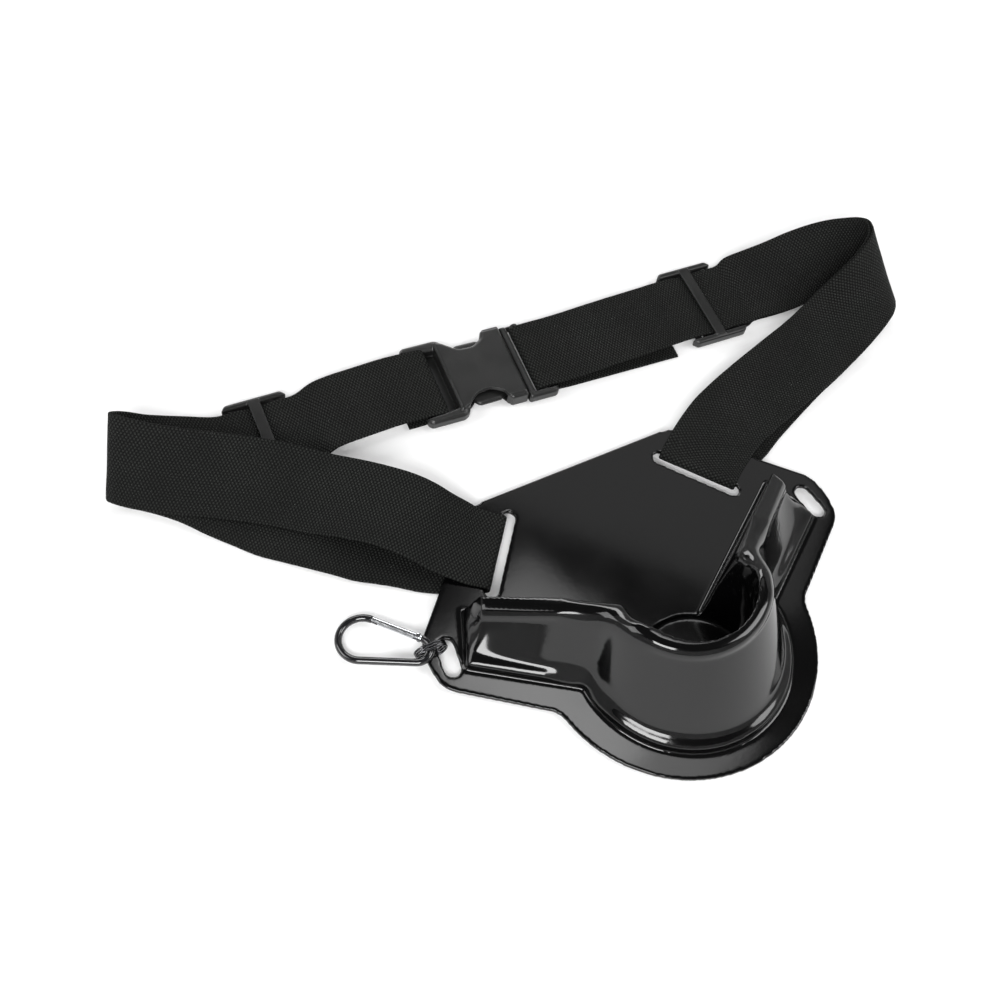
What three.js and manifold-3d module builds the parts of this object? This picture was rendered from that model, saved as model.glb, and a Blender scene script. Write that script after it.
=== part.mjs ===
// Fishing fighting belt: a moulded waist plate with a rod cup, on a webbing belt with a buckle.
// Millimetres, +Z up, resting on the plane z = 0. +X runs across the plate, +Y towards the belt's back.
import * as THREE from 'three';
import { mergeGeometries, mergeVertices } from 'three/addons/utils/BufferGeometryUtils.js';
import Module from 'manifold-3d';

const wasm = await Module();
wasm.setup();

// Driving dimensions
const clearance = 0.35;

const plate = {
  thickness: 3,
  tiltDegrees: 0.95,
  lobeRadius: 83.3,
  neckRadius: 14,
  earEdgeDistance: 58.4,
  earEdgeDegrees: -53.3,
  earHalfWidth: 136,
  earLowerRadius: 17.6,
  earUpperRadius: 19.2,
  sideDistance: 136.75,
  sideDegrees: 44.1,
  topHeight: 124,
  topRadius: 15,
};

const strapSlot = { distance: 108.8, degrees: 39, along: 26, length: 57, width: 8 };
const earSlot = { fromSide: 12, y: 43, length: 23, width: 9.5, leanDegrees: 9 };

const ridge = {
  wall: 3,
  footHeight: 6.5,
  footRound: 2.6,
  footWidth: 5.5,
  edgeRound: 3.2,
  armDegrees: 34.5,
  innerOffset: 5.8,
  topWidth: 12,
  baseWidth: 34,
  armEnd: 123.4,
  armEndSkew: 7,
  armEndHeight: 20,
  armEndRun: 5,
  armSlopeDegrees: 22.3,
  riseSteps: 3,
  baseCentreY: -5,
  baseRadius: 64,
};

const cup = {
  height: 58,
  floorY: -21.4,
  floorRadius: 33.4,
  floorRecess: 1.4,
  rimY: 11.3,
  rimRadius: 37,
  outerY: 16.5,
  outerRadius: 50.5,
};

const webbing = { width: 50, thickness: 1.7, edge: 0.9, step: 12 };

// The belt's loop: how far its turns reach from the plate's middle, and how far back it lies
const loop = { left: 260, right: 266, back: 178 };

const triGlide = {
  sideGap: 1.3,
  depth: 37,
  rail: 4.2,
  height: 7,
  outerBar: 5,
  outerBarLow: 2.4,
  outerBarHigh: 4.4,
  centreBar: 6.5,
  centreBarLow: 5.7,
};

const buckle = {
  width: 53,
  sideGap: 0.5,
  height: 11.5,
  wall: 2.4,
  socketLength: 42,
  socketBar: 14,
  frameEnd: 10,
  barWidth: 5,
  barHeight: 4,
  barZ: 5.6,
  rail: 4.3,
  prongWidth: 9,
  prongHeight: 5.4,
  windowLength: 20,
  windowDepth: 8,
  prongShoulder: 12,
  guideWidth: 12,
  baseLength: 5,
  prongsBar: 11.6,
  prongsEnd: 6,
};

// The ring's straight stretches and the hook's nose take their place from the plate's left side
const ring = { wire: 1.2, turns: 3, pitch: 1.45, roundRadius: 6, length: 6, fromSide: 1.2, y: 50.5 };

const hook = {
  wire: 4.4,
  bigRadius: 13,
  noseRadius: 7.4,
  centres: 32,
  noseBeyondSide: 3,
  noseY: 53,
  noseZ: 8.45,
  headingDegrees: 139.5,
  tiltDegrees: 7.7,
  tongue: 1.4,
  tongueReach: 3.4,
  gateWire: 4,
  slotWidth: 2.2,
  pinRadius: 0.8,
  pinHead: 1.7,
  pinPlay: 0.35,
};

const radians = THREE.MathUtils.degToRad;
const flat2 = (x, y) => new THREE.Vector2(x, y);
const point3 = (x, y, z) => new THREE.Vector3(x, y, z);

// Materials
function plastic(name, colour, roughness) {
  return new THREE.MeshStandardMaterial({ name, color: colour, roughness, metalness: 0 });
}

const materials = {
  plate: plastic('plate_plastic', 0x101112, 0.18),
  webbing: plastic('webbing', 0x2a2c2b, 0.85),
  fittings: plastic('fittings_plastic', 0x333535, 0.45),
  steel: new THREE.MeshStandardMaterial({ name: 'steel', color: 0xb9bcc0, roughness: 0.25, metalness: 1 }),
  blackSteel: new THREE.MeshStandardMaterial({ name: 'black_steel', color: 0x141516, roughness: 0.2, metalness: 0.7 }),
};

// Solids for cuts and joins
function bare(geometry) {
  const copy = geometry.index ? geometry.toNonIndexed() : geometry.clone();
  for (const name of Object.keys(copy.attributes)) {
    if (name !== 'position') copy.deleteAttribute(name);
  }
  copy.clearGroups();
  return mergeVertices(copy, 1e-4);
}

function solid(geometry) {
  const merged = bare(geometry);
  const mesh = new wasm.Mesh({
    numProp: 3,
    vertProperties: new Float32Array(merged.attributes.position.array),
    triVerts: new Uint32Array(merged.index.array),
  });
  mesh.merge();
  return new wasm.Manifold(mesh);
}

function geometryOf(body) {
  const mesh = body.getMesh();
  const geometry = new THREE.BufferGeometry();
  geometry.setAttribute('position', new THREE.BufferAttribute(new Float32Array(mesh.vertProperties), 3));
  geometry.setIndex(new THREE.BufferAttribute(new Uint32Array(mesh.triVerts), 1));
  geometry.computeVertexNormals();
  return geometry;
}

function joined(bodies) {
  return bodies.reduce((whole, body) => whole.add(body));
}

// A closed skin through equal rings of points, with a flat cap on each end
function loft(sections, slantedOtherWay = () => false) {
  const count = sections[0].length;
  const positions = sections.flat().flatMap((p) => [p.x, p.y, p.z]);
  const faces = [];
  for (let i = 0; i + 1 < sections.length; i += 1) {
    for (let j = 0; j < count; j += 1) {
      const a = i * count + j;
      const b = i * count + ((j + 1) % count);
      if (slantedOtherWay(i, j)) faces.push(a, b, a + count, b, b + count, a + count);
      else faces.push(a, b, b + count, a, b + count, a + count);
    }
  }
  const last = (sections.length - 1) * count;
  for (let j = 1; j + 1 < count; j += 1) {
    faces.push(0, j + 1, j);
    faces.push(last, last + j, last + j + 1);
  }
  const geometry = new THREE.BufferGeometry();
  geometry.setAttribute('position', new THREE.BufferAttribute(new Float32Array(positions), 3));
  geometry.setIndex(faces);
  geometry.computeVertexNormals();
  return geometry;
}

function extruded(shape, low, high, curveSegments = 8) {
  const geometry = new THREE.ExtrudeGeometry(shape, { depth: high - low, bevelEnabled: false, curveSegments });
  return geometry.translate(0, 0, low);
}

// A plain outline through corners {x, y, r}, each rounded by its radius
function roundedOutline(corners, arcSteps = 5) {
  const points = [];
  corners.forEach((corner, i) => {
    const here = flat2(corner.x, corner.y);
    const before = corners[(i + corners.length - 1) % corners.length];
    const after = corners[(i + 1) % corners.length];
    const toBefore = flat2(before.x, before.y).sub(here).normalize();
    const toAfter = flat2(after.x, after.y).sub(here).normalize();
    const halfAngle = Math.acos(THREE.MathUtils.clamp(toBefore.dot(toAfter), -1, 1)) / 2;
    const radius = corner.r ?? 0;
    if (radius < 0.01) {
      points.push(here);
      return;
    }
    const centre = toBefore.clone().add(toAfter).normalize().multiplyScalar(radius / Math.sin(halfAngle)).add(here);
    const start = toBefore.clone().multiplyScalar(radius / Math.tan(halfAngle)).add(here).sub(centre);
    const sweep = (Math.PI - 2 * halfAngle) * Math.sign(-toBefore.cross(toAfter));
    for (let k = 0; k <= arcSteps; k += 1) {
      const turn = start.clone().rotateAround(flat2(0, 0), (sweep * k) / arcSteps);
      points.push(turn.add(centre));
    }
  });
  return points;
}

function stadium(x, y, length, width, degrees, steps = 6) {
  const half = (length - width) / 2;
  const along = flat2(Math.cos(radians(degrees)), Math.sin(radians(degrees)));
  const across = flat2(-along.y, along.x);
  const points = [];
  for (const end of [1, -1]) {
    for (let k = 0; k <= steps; k += 1) {
      const angle = (Math.PI * k) / steps - Math.PI / 2;
      const reach = end * (half + (width / 2) * Math.cos(angle));
      const side = end * (width / 2) * Math.sin(angle);
      points.push(flat2(x, y).addScaledVector(along, reach).addScaledVector(across, side));
    }
  }
  return points;
}

// The plate lies on its lobe and on the webbing behind its slots, so it is tilted a little
const plateTilt = radians(plate.tiltDegrees);
const plateLift = plate.thickness + plate.lobeRadius * Math.sin(plateTilt);
const plateFrame = new THREE.Matrix4()
  .makeTranslation(0, 0, plateLift)
  .multiply(new THREE.Matrix4().makeRotationX(plateTilt));

const mirrored = (points) => points.map((p) => flat2(-p.x, p.y)).reverse();

// Right half of the plate's outline, from the lobe's lowest point round to the top edge
function plateHalf() {
  const edge = radians(plate.earEdgeDegrees);
  const normal = flat2(Math.cos(edge), Math.sin(edge));
  const along = flat2(-normal.y, normal.x);
  const outward = plate.earEdgeDistance + plate.neckRadius;
  const reach = Math.sqrt((plate.lobeRadius + plate.neckRadius) ** 2 - outward ** 2);
  const neck = normal.clone().multiplyScalar(outward).addScaledVector(along, reach);
  const neckAngle = Math.atan2(neck.y, neck.x);
  const points = [];
  const lobeSteps = 16;
  for (let k = 0; k <= lobeSteps; k += 1) {
    const angle = THREE.MathUtils.lerp(-Math.PI / 2, neckAngle, k / lobeSteps);
    points.push(flat2(plate.lobeRadius * Math.cos(angle), plate.lobeRadius * Math.sin(angle)));
  }
  const from = neckAngle + Math.PI;
  const to = edge + Math.PI;
  const neckSteps = 4;
  for (let k = 1; k <= neckSteps; k += 1) {
    const angle = THREE.MathUtils.lerp(from, to, k / neckSteps);
    points.push(flat2(Math.cos(angle), Math.sin(angle)).multiplyScalar(plate.neckRadius).add(neck));
  }
  const side = radians(plate.sideDegrees);
  const earLowY = (plate.earHalfWidth * normal.x - plate.earEdgeDistance) / -normal.y;
  const earHighY = (plate.sideDistance - plate.earHalfWidth * Math.cos(side)) / Math.sin(side);
  const topX = (plate.sideDistance - plate.topHeight * Math.sin(side)) / Math.cos(side);
  const corners = roundedOutline([
    { x: points.at(-1).x, y: points.at(-1).y },
    { x: plate.earHalfWidth, y: earLowY, r: plate.earLowerRadius },
    { x: plate.earHalfWidth, y: earHighY, r: plate.earUpperRadius },
    { x: topX, y: plate.topHeight, r: plate.topRadius },
    { x: 0, y: plate.topHeight },
  ]);
  return points.concat(corners.slice(1, -1));
}

function plateSheet() {
  const half = plateHalf();
  const outline = half.concat(mirrored(half).slice(0, -1));
  return solid(extruded(new THREE.Shape(outline), -plate.thickness, 0));
}

function slotCut(points) {
  return solid(extruded(new THREE.Shape(points), -3 * plate.thickness, 3 * plate.thickness));
}

function slotCuts() {
  const cuts = [];
  for (const side of [1, -1]) {
    const heading = side > 0 ? strapSlot.degrees : 180 - strapSlot.degrees;
    const normal = flat2(Math.cos(radians(heading)), Math.sin(radians(heading)));
    const along = flat2(-normal.y, normal.x).multiplyScalar(side);
    const centre = normal.multiplyScalar(strapSlot.distance).addScaledVector(along, strapSlot.along);
    cuts.push(slotCut(stadium(centre.x, centre.y, strapSlot.length, strapSlot.width, heading + 90)));
    const lean = 90 + side * earSlot.leanDegrees;
    const x = side * (plate.earHalfWidth - earSlot.fromSide);
    cuts.push(slotCut(stadium(x, earSlot.y, earSlot.length, earSlot.width, lean)));
  }
  return cuts;
}

// The ridge runs from one ear along the arm, round the cup and out along the other arm.
// A position on an arm is its distance along the arm and its distance out from the cup's middle line.
const armAlong = flat2(Math.cos(radians(ridge.armDegrees)), Math.sin(radians(ridge.armDegrees)));
const armOut = flat2(armAlong.y, -armAlong.x);

function onArm(along, out, side) {
  const p = armAlong.clone().multiplyScalar(along).addScaledVector(armOut, out);
  return flat2(side * p.x, p.y);
}

// Where an arm's line, out from the middle by the given distance, crosses a circle on the plate's middle line
function crossing(circleY, radius, out) {
  const centre = flat2(0, circleY);
  return centre.dot(armAlong) + Math.sqrt(radius ** 2 - (centre.dot(armOut) - out) ** 2);
}

function armHeight(along) {
  const slope = Math.tan(radians(ridge.armSlopeDegrees));
  return Math.min(cup.height, ridge.armEndHeight + (ridge.armEnd - along) * slope);
}

// One section across the ridge: inner foot, inner top, rounded outer top and outer foot
function ridgeSection(inner, outerTop, outerBase, height, inset) {
  const low = inset > 0 ? -3 * plate.thickness : plate.thickness / 3;
  const foot = Math.min(ridge.footHeight, height) - inset;
  const top = height - inset;
  const round = Math.min(ridge.edgeRound, (top - foot) / 2);
  const back = inner.clone().sub(outerTop).normalize();
  const at = (p, z) => point3(p.x, p.y, z);
  const edge = (share) => outerTop.clone().addScaledVector(back, round * share);
  return [
    at(inner, low),
    at(inner, top),
    at(edge(1.1), top),
    at(edge(0.35), top - round * 0.3),
    at(edge(0), top - round),
    at(outerBase, Math.max(foot, low + 1)),
    at(outerBase, low),
  ];
}

function ridgeBody(inset) {
  const outerTop = ridge.innerOffset + ridge.topWidth - inset;
  const baseOut = ridge.innerOffset + ridge.baseWidth - ridge.footWidth - inset;
  const baseRadius = ridge.baseRadius - ridge.footWidth - inset;
  const outerRadius = cup.outerRadius - inset;
  const topStart = crossing(cup.outerY, outerRadius, outerTop);
  const baseStart = crossing(ridge.baseCentreY, baseRadius, baseOut);
  const end = ridge.armEnd - inset;
  const arm = (side) => [
    { share: 1, height: Math.max(ridge.footHeight + 2, inset + 2), drop: 0 },
    { share: 1, height: ridge.armEndHeight, drop: ridge.armEndRun },
    { share: 0.5, drop: 0 },
    { share: 0, drop: 0 },
  ].map((row) => {
    const topAt = THREE.MathUtils.lerp(topStart, end - ridge.armEndSkew / 2 - row.drop, row.share);
    const baseAt = THREE.MathUtils.lerp(baseStart, end - ridge.armEndSkew - row.drop * 0.3, row.share);
    const innerAt = THREE.MathUtils.lerp(topStart - ridge.topWidth, end - row.drop, row.share);
    return ridgeSection(
      onArm(innerAt, ridge.innerOffset - 4, side),
      onArm(topAt, outerTop, side),
      onArm(baseAt, baseOut, side),
      row.height ?? armHeight(topAt),
      inset,
    );
  });
  const startTop = onArm(topStart, outerTop, 1);
  const startBase = onArm(baseStart, baseOut, 1);
  const topAngle = Math.atan2(startTop.y - cup.outerY, startTop.x);
  const baseAngle = Math.atan2(startBase.y - ridge.baseCentreY, startBase.x);
  const steps = 26;
  const core = 5;
  const bowl = [];
  for (let k = 1; k < steps; k += 1) {
    const share = k / steps;
    const angleTop = THREE.MathUtils.lerp(topAngle, -Math.PI - topAngle, share);
    const angleBase = THREE.MathUtils.lerp(baseAngle, -Math.PI - baseAngle, share);
    const around = (angle, radius, y) => flat2(radius * Math.cos(angle), y + radius * Math.sin(angle));
    const rise = Math.min(1, Math.min(k, steps - k) / ridge.riseSteps);
    bowl.push(ridgeSection(
      around(angleTop, core, 0),
      around(angleTop, outerRadius, cup.outerY),
      around(angleBase, baseRadius, ridge.baseCentreY),
      THREE.MathUtils.lerp(armHeight(topStart), cup.height, Math.sin((rise * Math.PI) / 2)),
      inset,
    ));
  }
  return solid(loft([...arm(1), ...bowl, ...arm(-1).reverse()].reverse()));
}

// The rounded step where the ridge meets the flat plate
function ridgeFoot() {
  const inner = ridge.innerOffset;
  const outer = ridge.innerOffset + ridge.baseWidth;
  const baseStart = crossing(ridge.baseCentreY, ridge.baseRadius, outer);
  const startAt = onArm(baseStart, outer, 1);
  const angle = Math.atan2(startAt.y - ridge.baseCentreY, startAt.x);
  const outline = [];
  outline.push(onArm(ridge.armEnd, inner, 1));
  outline.push(onArm(0, inner, 1).setX(0));
  outline.push(onArm(ridge.armEnd, inner, -1));
  outline.push(onArm(ridge.armEnd - ridge.armEndSkew, outer, -1));
  const steps = 28;
  for (let k = 0; k <= steps; k += 1) {
    const turn = THREE.MathUtils.lerp(-Math.PI - angle, angle, k / steps);
    outline.push(flat2(
      ridge.baseRadius * Math.cos(turn),
      ridge.baseCentreY + ridge.baseRadius * Math.sin(turn),
    ));
  }
  outline.push(onArm(ridge.armEnd - ridge.armEndSkew, outer, 1));
  const round = ridge.footRound;
  const geometry = new THREE.ExtrudeGeometry(new THREE.Shape(outline), {
    depth: ridge.footHeight - round + plate.thickness / 2,
    bevelEnabled: true,
    bevelThickness: round,
    bevelSize: round,
    bevelOffset: -round,
    bevelSegments: 2,
  }).translate(0, 0, -plate.thickness / 2);
  const below = new THREE.BoxGeometry(4 * plate.earHalfWidth, 4 * plate.earHalfWidth, 2 * round).translate(0, 0, -plate.thickness / 2 - round);
  return solid(geometry).subtract(solid(below));
}

// The slanted round pit that takes the rod's butt, grown by a wall for the hollow behind it
function pit(grow, low) {
  const ringAt = (z) => {
    const share = Math.max(z, 0) / cup.height;
    const y = THREE.MathUtils.lerp(cup.floorY, cup.rimY, share);
    const radius = THREE.MathUtils.lerp(cup.floorRadius, cup.rimRadius, share) + grow;
    const steps = 40;
    return Array.from({ length: steps }, (_, k) => {
      const angle = (2 * Math.PI * k) / steps;
      return point3(radius * Math.cos(angle), y + radius * Math.sin(angle), z);
    });
  };
  return solid(loft([ringAt(low), ringAt(0), ringAt(cup.height * 1.3)]));
}

// The open space between the arms, above the flat plate
function betweenArms(grow, low) {
  const far = ridge.armEnd + ridge.baseWidth;
  const out = ridge.innerOffset + grow;
  const shape = new THREE.Shape([
    onArm(0, out, 1).setX(0).setY(onArm(0, out, 1).y - onArm(0, out, 1).x * Math.tan(radians(ridge.armDegrees))),
    onArm(far, out, 1),
    flat2(0, far * 2),
    onArm(far, out, -1),
  ]);
  return solid(extruded(shape, low, cup.height * 1.5));
}

function waistPlate() {
  const raised = ridgeBody(0).add(ridgeFoot());
  const hollow = ridgeBody(ridge.wall)
    .subtract(pit(ridge.wall, -4 * plate.thickness))
    .subtract(betweenArms(ridge.wall, -4 * plate.thickness));
  let body = plateSheet().add(raised);
  body = body.subtract(hollow);
  body = body.subtract(betweenArms(0, 0));
  body = body.subtract(pit(0, -cup.floorRecess));
  for (const cut of slotCuts()) body = body.subtract(cut);
  const pieces = body.decompose().sort((a, b) => b.volume() - a.volume());
  return geometryOf(pieces[0]).applyMatrix4(plateFrame);
}

// Webbing. A row gives one place along the side's outer layer, counted from the plate's slot:
// across and back are the place of its lower edge as shares of the loop's reach on that side and of
// its depth, and lift is its height as a share of the webbing's width. face is the heading of the
// width on the floor plane and lean its rise, in degrees. The second layer lies inner inside it and
// slips out below it by slip, both as shares of the width, and rises by innerLean.
const routes = {
  right: [
    { across: 0.363, back: 0.441, lift: 0.15, face: 123, lean: 2, inner: 0.124, slip: 0.06, innerLean: 0.5 },
    { across: 0.433, back: 0.500, lift: 0.15, face: 116, lean: 4, inner: 0.124, slip: 0.14, innerLean: 0.5 },
    { across: 0.545, back: 0.556, lift: 0.14, face: 111, lean: 8, inner: 0.105, slip: 0.08, innerLean: 4 },
    { across: 0.660, back: 0.607, lift: 0.13, face: 109, lean: 9, inner: 0.085, slip: 0.02, innerLean: 8 },
    { across: 0.770, back: 0.657, lift: 0.13, face: 110, lean: 9, inner: 0.070, slip: 0, innerLean: 9 },
    { across: 0.855, back: 0.703, lift: 0.17, face: 115, lean: 16, inner: 0.055, slip: 0, innerLean: 16 },
    { across: 0.925, back: 0.748, lift: 0.24, face: 121, lean: 31, inner: 0.046, slip: 0, innerLean: 31 },
    { across: 0.975, back: 0.795, lift: 0.25, face: 113, lean: 40, inner: 0.046, slip: 0, innerLean: 40 },
    { across: 1.000, back: 0.854, lift: 0.20, face: 101, lean: 44, inner: 0.046, slip: 0, innerLean: 44 },
    { across: 0.992, back: 0.930, lift: 0.10, face: 94, lean: 50, inner: 0.046, slip: 0, innerLean: 50 },
    { across: 0.935, back: 0.975, lift: 0.04, face: 89, lean: 49, inner: 0.046, slip: 0, innerLean: 49 },
    { across: 0.850, back: 0.987, lift: 0.025, face: 86, lean: 36, inner: 0.048, slip: 0, innerLean: 36 },
    { across: 0.745, back: 0.984, lift: 0.025, face: 85, lean: 18, inner: 0.055, slip: 0, innerLean: 18 },
    { across: 0.640, back: 0.994, lift: 0.025, face: 85, lean: 5, inner: 0.075, slip: 0, innerLean: 5 },
  ],
  left: [
    { across: 0.369, back: 0.441, lift: 0.15, face: 54, lean: 1, inner: 0.125, slip: 0.08, innerLean: 0 },
    { across: 0.423, back: 0.508, lift: 0.24, face: 49, lean: 1, inner: 0.214, slip: 0.20, innerLean: 0 },
    { across: 0.485, back: 0.602, lift: 0.38, face: 46, lean: 2, inner: 0.340, slip: 0.31, innerLean: 1 },
    { across: 0.557, back: 0.705, lift: 0.36, face: 47, lean: 4, inner: 0.320, slip: 0.39, innerLean: 4 },
    { across: 0.630, back: 0.805, lift: 0.19, face: 51, lean: 13, inner: 0.140, slip: 0.40, innerLean: 10 },
    { across: 0.706, back: 0.896, lift: 0.14, face: 54, lean: 21, inner: 0.115, slip: 0.40, innerLean: 10 },
    { across: 0.792, back: 0.980, lift: 0.125, face: 54, lean: 25, inner: 0.095, slip: 0.26, innerLean: 10 },
    { across: 0.880, back: 1.045, lift: 0.18, face: 54, lean: 27, inner: 0.060, slip: 0.05, innerLean: 25 },
    { across: 0.945, back: 1.100, lift: 0.21, face: 56, lean: 30, inner: 0.046, slip: 0, innerLean: 30 },
    { across: 0.990, back: 1.158, lift: 0.19, face: 60, lean: 33, inner: 0.046, slip: 0, innerLean: 33 },
    { across: 0.998, back: 1.195, lift: 0.11, face: 64, lean: 34, inner: 0.046, slip: 0, innerLean: 34 },
    { across: 0.958, back: 1.190, lift: 0.045, face: 71, lean: 28, inner: 0.046, slip: 0, innerLean: 28 },
    { across: 0.880, back: 1.146, lift: 0.025, face: 79, lean: 16, inner: 0.052, slip: 0, innerLean: 16 },
    { across: 0.795, back: 1.115, lift: 0.025, face: 84, lean: 5, inner: 0.070, slip: 0, innerLean: 5 },
  ],
};

// Where the slides and the buckle lie: the lower edge of the webbing there, and the webbing's heading
const rear = {
  right: { glideX: 141, glideY: 176.8, faceDegrees: 86, barX: 11, barY: 181, tail: 96 },
  left: { glideX: -162, glideY: 190, faceDegrees: 86, barX: -56.2, barY: 187.5, tail: 22 },
};
const buckleFaceDegrees = 84.5;

function widthAt(face, lean) {
  const rise = radians(lean);
  const heading = radians(face);
  return point3(Math.cos(rise) * Math.cos(heading), Math.cos(rise) * Math.sin(heading), Math.sin(rise));
}

// Smooth places of a side's two layers between its rows, each as a lower edge and a width direction
function smoothLayers(side) {
  const sign = side === 'right' ? 1 : -1;
  const reach = side === 'right' ? loop.right : -loop.left;
  const rows = routes[side];
  const wide = webbing.width;
  const places = rows.map((row) => point3(row.across * reach, row.back * loop.back, row.lift * wide));
  const curve = (points) => new THREE.CatmullRomCurve3(points, false, 'centripetal');
  const lower = curve(places);
  const upper = curve(rows.map((row, i) => widthAt(row.face, row.lean).multiplyScalar(wide).add(places[i])));
  const last = rows.length - 1;
  const steps = Math.round(lower.getLength() / webbing.step);
  const outer = Array.from({ length: steps + 1 }, (_, k) => {
    const low = lower.getPoint(k / steps);
    return { low, width: upper.getPoint(k / steps).sub(low).normalize() };
  });
  const inner = outer.map(({ low, width }, k) => {
    const t = (k / steps) * last;
    const i = Math.min(Math.floor(t), last - 1);
    const mix = (name) => THREE.MathUtils.lerp(rows[i][name], rows[i + 1][name], t - i);
    const along = outer[Math.min(k + 1, steps)].low.clone().sub(outer[Math.max(k - 1, 0)].low);
    const inward = new THREE.Vector3().crossVectors(width, along).normalize().multiplyScalar(sign);
    const face = THREE.MathUtils.radToDeg(Math.atan2(width.y, width.x));
    const outOnFloor = widthAt(face, 0).multiplyScalar(-mix('slip') * wide);
    return {
      low: low.clone().addScaledVector(inward, mix('inner') * wide).add(outOnFloor),
      width: widthAt(face, mix('innerLean')),
      inner: true,
    };
  });
  return { outer, inner };
}

// One closed band through places {low, width}: low is the middle of its lower edge
function band(places) {
  const half = webbing.thickness / 2;
  const sections = places.map((place, i) => {
    const before = places[Math.max(i - 1, 0)].low;
    const after = places[Math.min(i + 1, places.length - 1)].low;
    const along = place.along ?? after.clone().sub(before).normalize();
    const face = new THREE.Vector3().crossVectors(along, place.width).normalize();
    const at = (across, out) => place.low.clone()
      .addScaledVector(place.width, across)
      .addScaledVector(face, out);
    const wide = webbing.width;
    return [
      at(0, 0),
      at(webbing.edge, -half),
      at(wide - webbing.edge, -half),
      at(wide, 0),
      at(wide - webbing.edge, half),
      at(webbing.edge, half),
    ];
  });
  // Both faces of both layers are split along the same slant, so that they stay parallel where they twist
  return loft(sections, (i, j) => (j >= 3) !== Boolean(places[i].inner));
}

// The webbing's way down through the plate's slot, round the strip of plate outside the slot
function slotBend(side) {
  const sign = side === 'right' ? 1 : -1;
  const heading = radians(strapSlot.degrees);
  const normal = point3(sign * Math.cos(heading), Math.sin(heading), 0);
  const along = point3(-sign * Math.sin(heading), Math.cos(heading), 0);
  const edge = strapSlot.distance + strapSlot.width / 2;
  const bend = plate.thickness / 2 + clearance + webbing.thickness / 2;
  const centre = normal.clone().multiplyScalar(edge + 0.5).addScaledVector(along, strapSlot.along - webbing.width / 2);
  centre.z = -plate.thickness / 2;
  const steps = 8;
  const places = [];
  for (let k = -1; k <= steps + 1; k += 1) {
    const turn = Math.PI / 2 + (Math.PI * THREE.MathUtils.clamp(k, 0, steps)) / steps;
    const out = bend * Math.cos(turn) + (k < 0 || k > steps ? webbing.thickness * 2 : 0);
    const low = centre.clone().addScaledVector(normal, out).add(point3(0, 0, bend * Math.sin(turn)));
    const way = point3(0, 0, Math.cos(turn)).addScaledVector(normal, -Math.sin(turn));
    places.push({
      low: low.applyMatrix4(plateFrame),
      width: along.clone().transformDirection(plateFrame),
      along: way.clone().transformDirection(plateFrame),
    });
  }
  return places;
}

// Flat runs at the back lie between the slide and the buckle
function rearPlace(side, x, height, share = 0) {
  const r = rear[side];
  const onLine = (atX, atY, face) => atY - (x - atX) / Math.tan(radians(face));
  const y = THREE.MathUtils.lerp(
    onLine(r.glideX, r.glideY, r.faceDegrees),
    onLine(r.barX, r.barY, buckleFaceDegrees),
    share,
  );
  const face = THREE.MathUtils.lerp(r.faceDegrees, buckleFaceDegrees, share);
  return { low: point3(x, y, height), width: widthAt(face, 0) };
}

const underLayer = clearance + webbing.thickness / 2;
const overOuterBar = triGlide.outerBarHigh + clearance + webbing.thickness / 2;
const underCentreBar = triGlide.centreBarLow - clearance - webbing.thickness / 2;

function webbingSide(side) {
  const sign = side === 'right' ? 1 : -1;
  const r = rear[side];
  const { outer, inner } = smoothLayers(side);
  const outward = sign * triGlide.depth / 2;
  const underGlide = [
    rearPlace(side, r.glideX - outward * 0.5, underLayer),
    rearPlace(side, r.glideX + outward * 0.6, underLayer),
    rearPlace(side, r.glideX + outward * 1.3, underLayer),
  ];
  const throughGlide = [
    rearPlace(side, r.glideX + outward * 1.3, overOuterBar),
    rearPlace(side, r.glideX + outward * 0.6, overOuterBar),
    rearPlace(side, r.glideX + outward * 0.3, underCentreBar),
    rearPlace(side, r.glideX - outward * 0.3, underCentreBar),
    rearPlace(side, r.glideX - outward * 0.6, overOuterBar),
    rearPlace(side, r.glideX - outward * 1.3, overOuterBar),
  ];
  const wrap = buckle.barHeight / 2 + clearance + webbing.thickness / 2;
  const rearRun = [0.35, 0.6, 0.8].map((share) => rearPlace(
    side,
    THREE.MathUtils.lerp(r.glideX, r.barX, share),
    THREE.MathUtils.lerp(overOuterBar, buckle.barZ + wrap, share),
    Math.min(1, share * 1.25),
  ));
  const foldSteps = 8;
  const fold = Array.from({ length: foldSteps + 1 }, (_, k) => {
    const turn = Math.PI / 2 - (Math.PI * k) / foldSteps;
    const place = rearPlace(side, r.barX, 0, 1);
    const ahead = point3(-sign * Math.sin(radians(buckleFaceDegrees)), sign * Math.cos(radians(buckleFaceDegrees)), 0);
    const flatHalf = (buckle.barWidth - buckle.barHeight) / 2;
    const push = wrap * Math.cos(turn) + flatHalf;
    place.low.addScaledVector(ahead, push).setZ(buckle.barZ + wrap * Math.sin(turn));
    place.along = ahead.clone().multiplyScalar(Math.sin(turn)).add(point3(0, 0, -Math.cos(turn)));
    return place;
  });
  const tailLength = r.tail;
  const tail = [0.25, 0.6, 1].map((share) => rearPlace(
    side,
    r.barX + sign * tailLength * share,
    THREE.MathUtils.lerp(buckle.barZ - wrap, underLayer, Math.min(1, (share * tailLength) / 24)),
    1,
  ));
  const bend = slotBend(side);
  return band([
    ...underGlide,
    ...outer.reverse(),
    ...bend,
    ...inner,
    ...throughGlide,
    ...rearRun,
    ...fold,
    ...tail,
  ]);
}

// A box between two corners
function block(x0, y0, z0, x1, y1, z1) {
  return new THREE.BoxGeometry(x1 - x0, y1 - y0, z1 - z0)
    .translate((x0 + x1) / 2, (y0 + y1) / 2, (z0 + z1) / 2);
}

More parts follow.
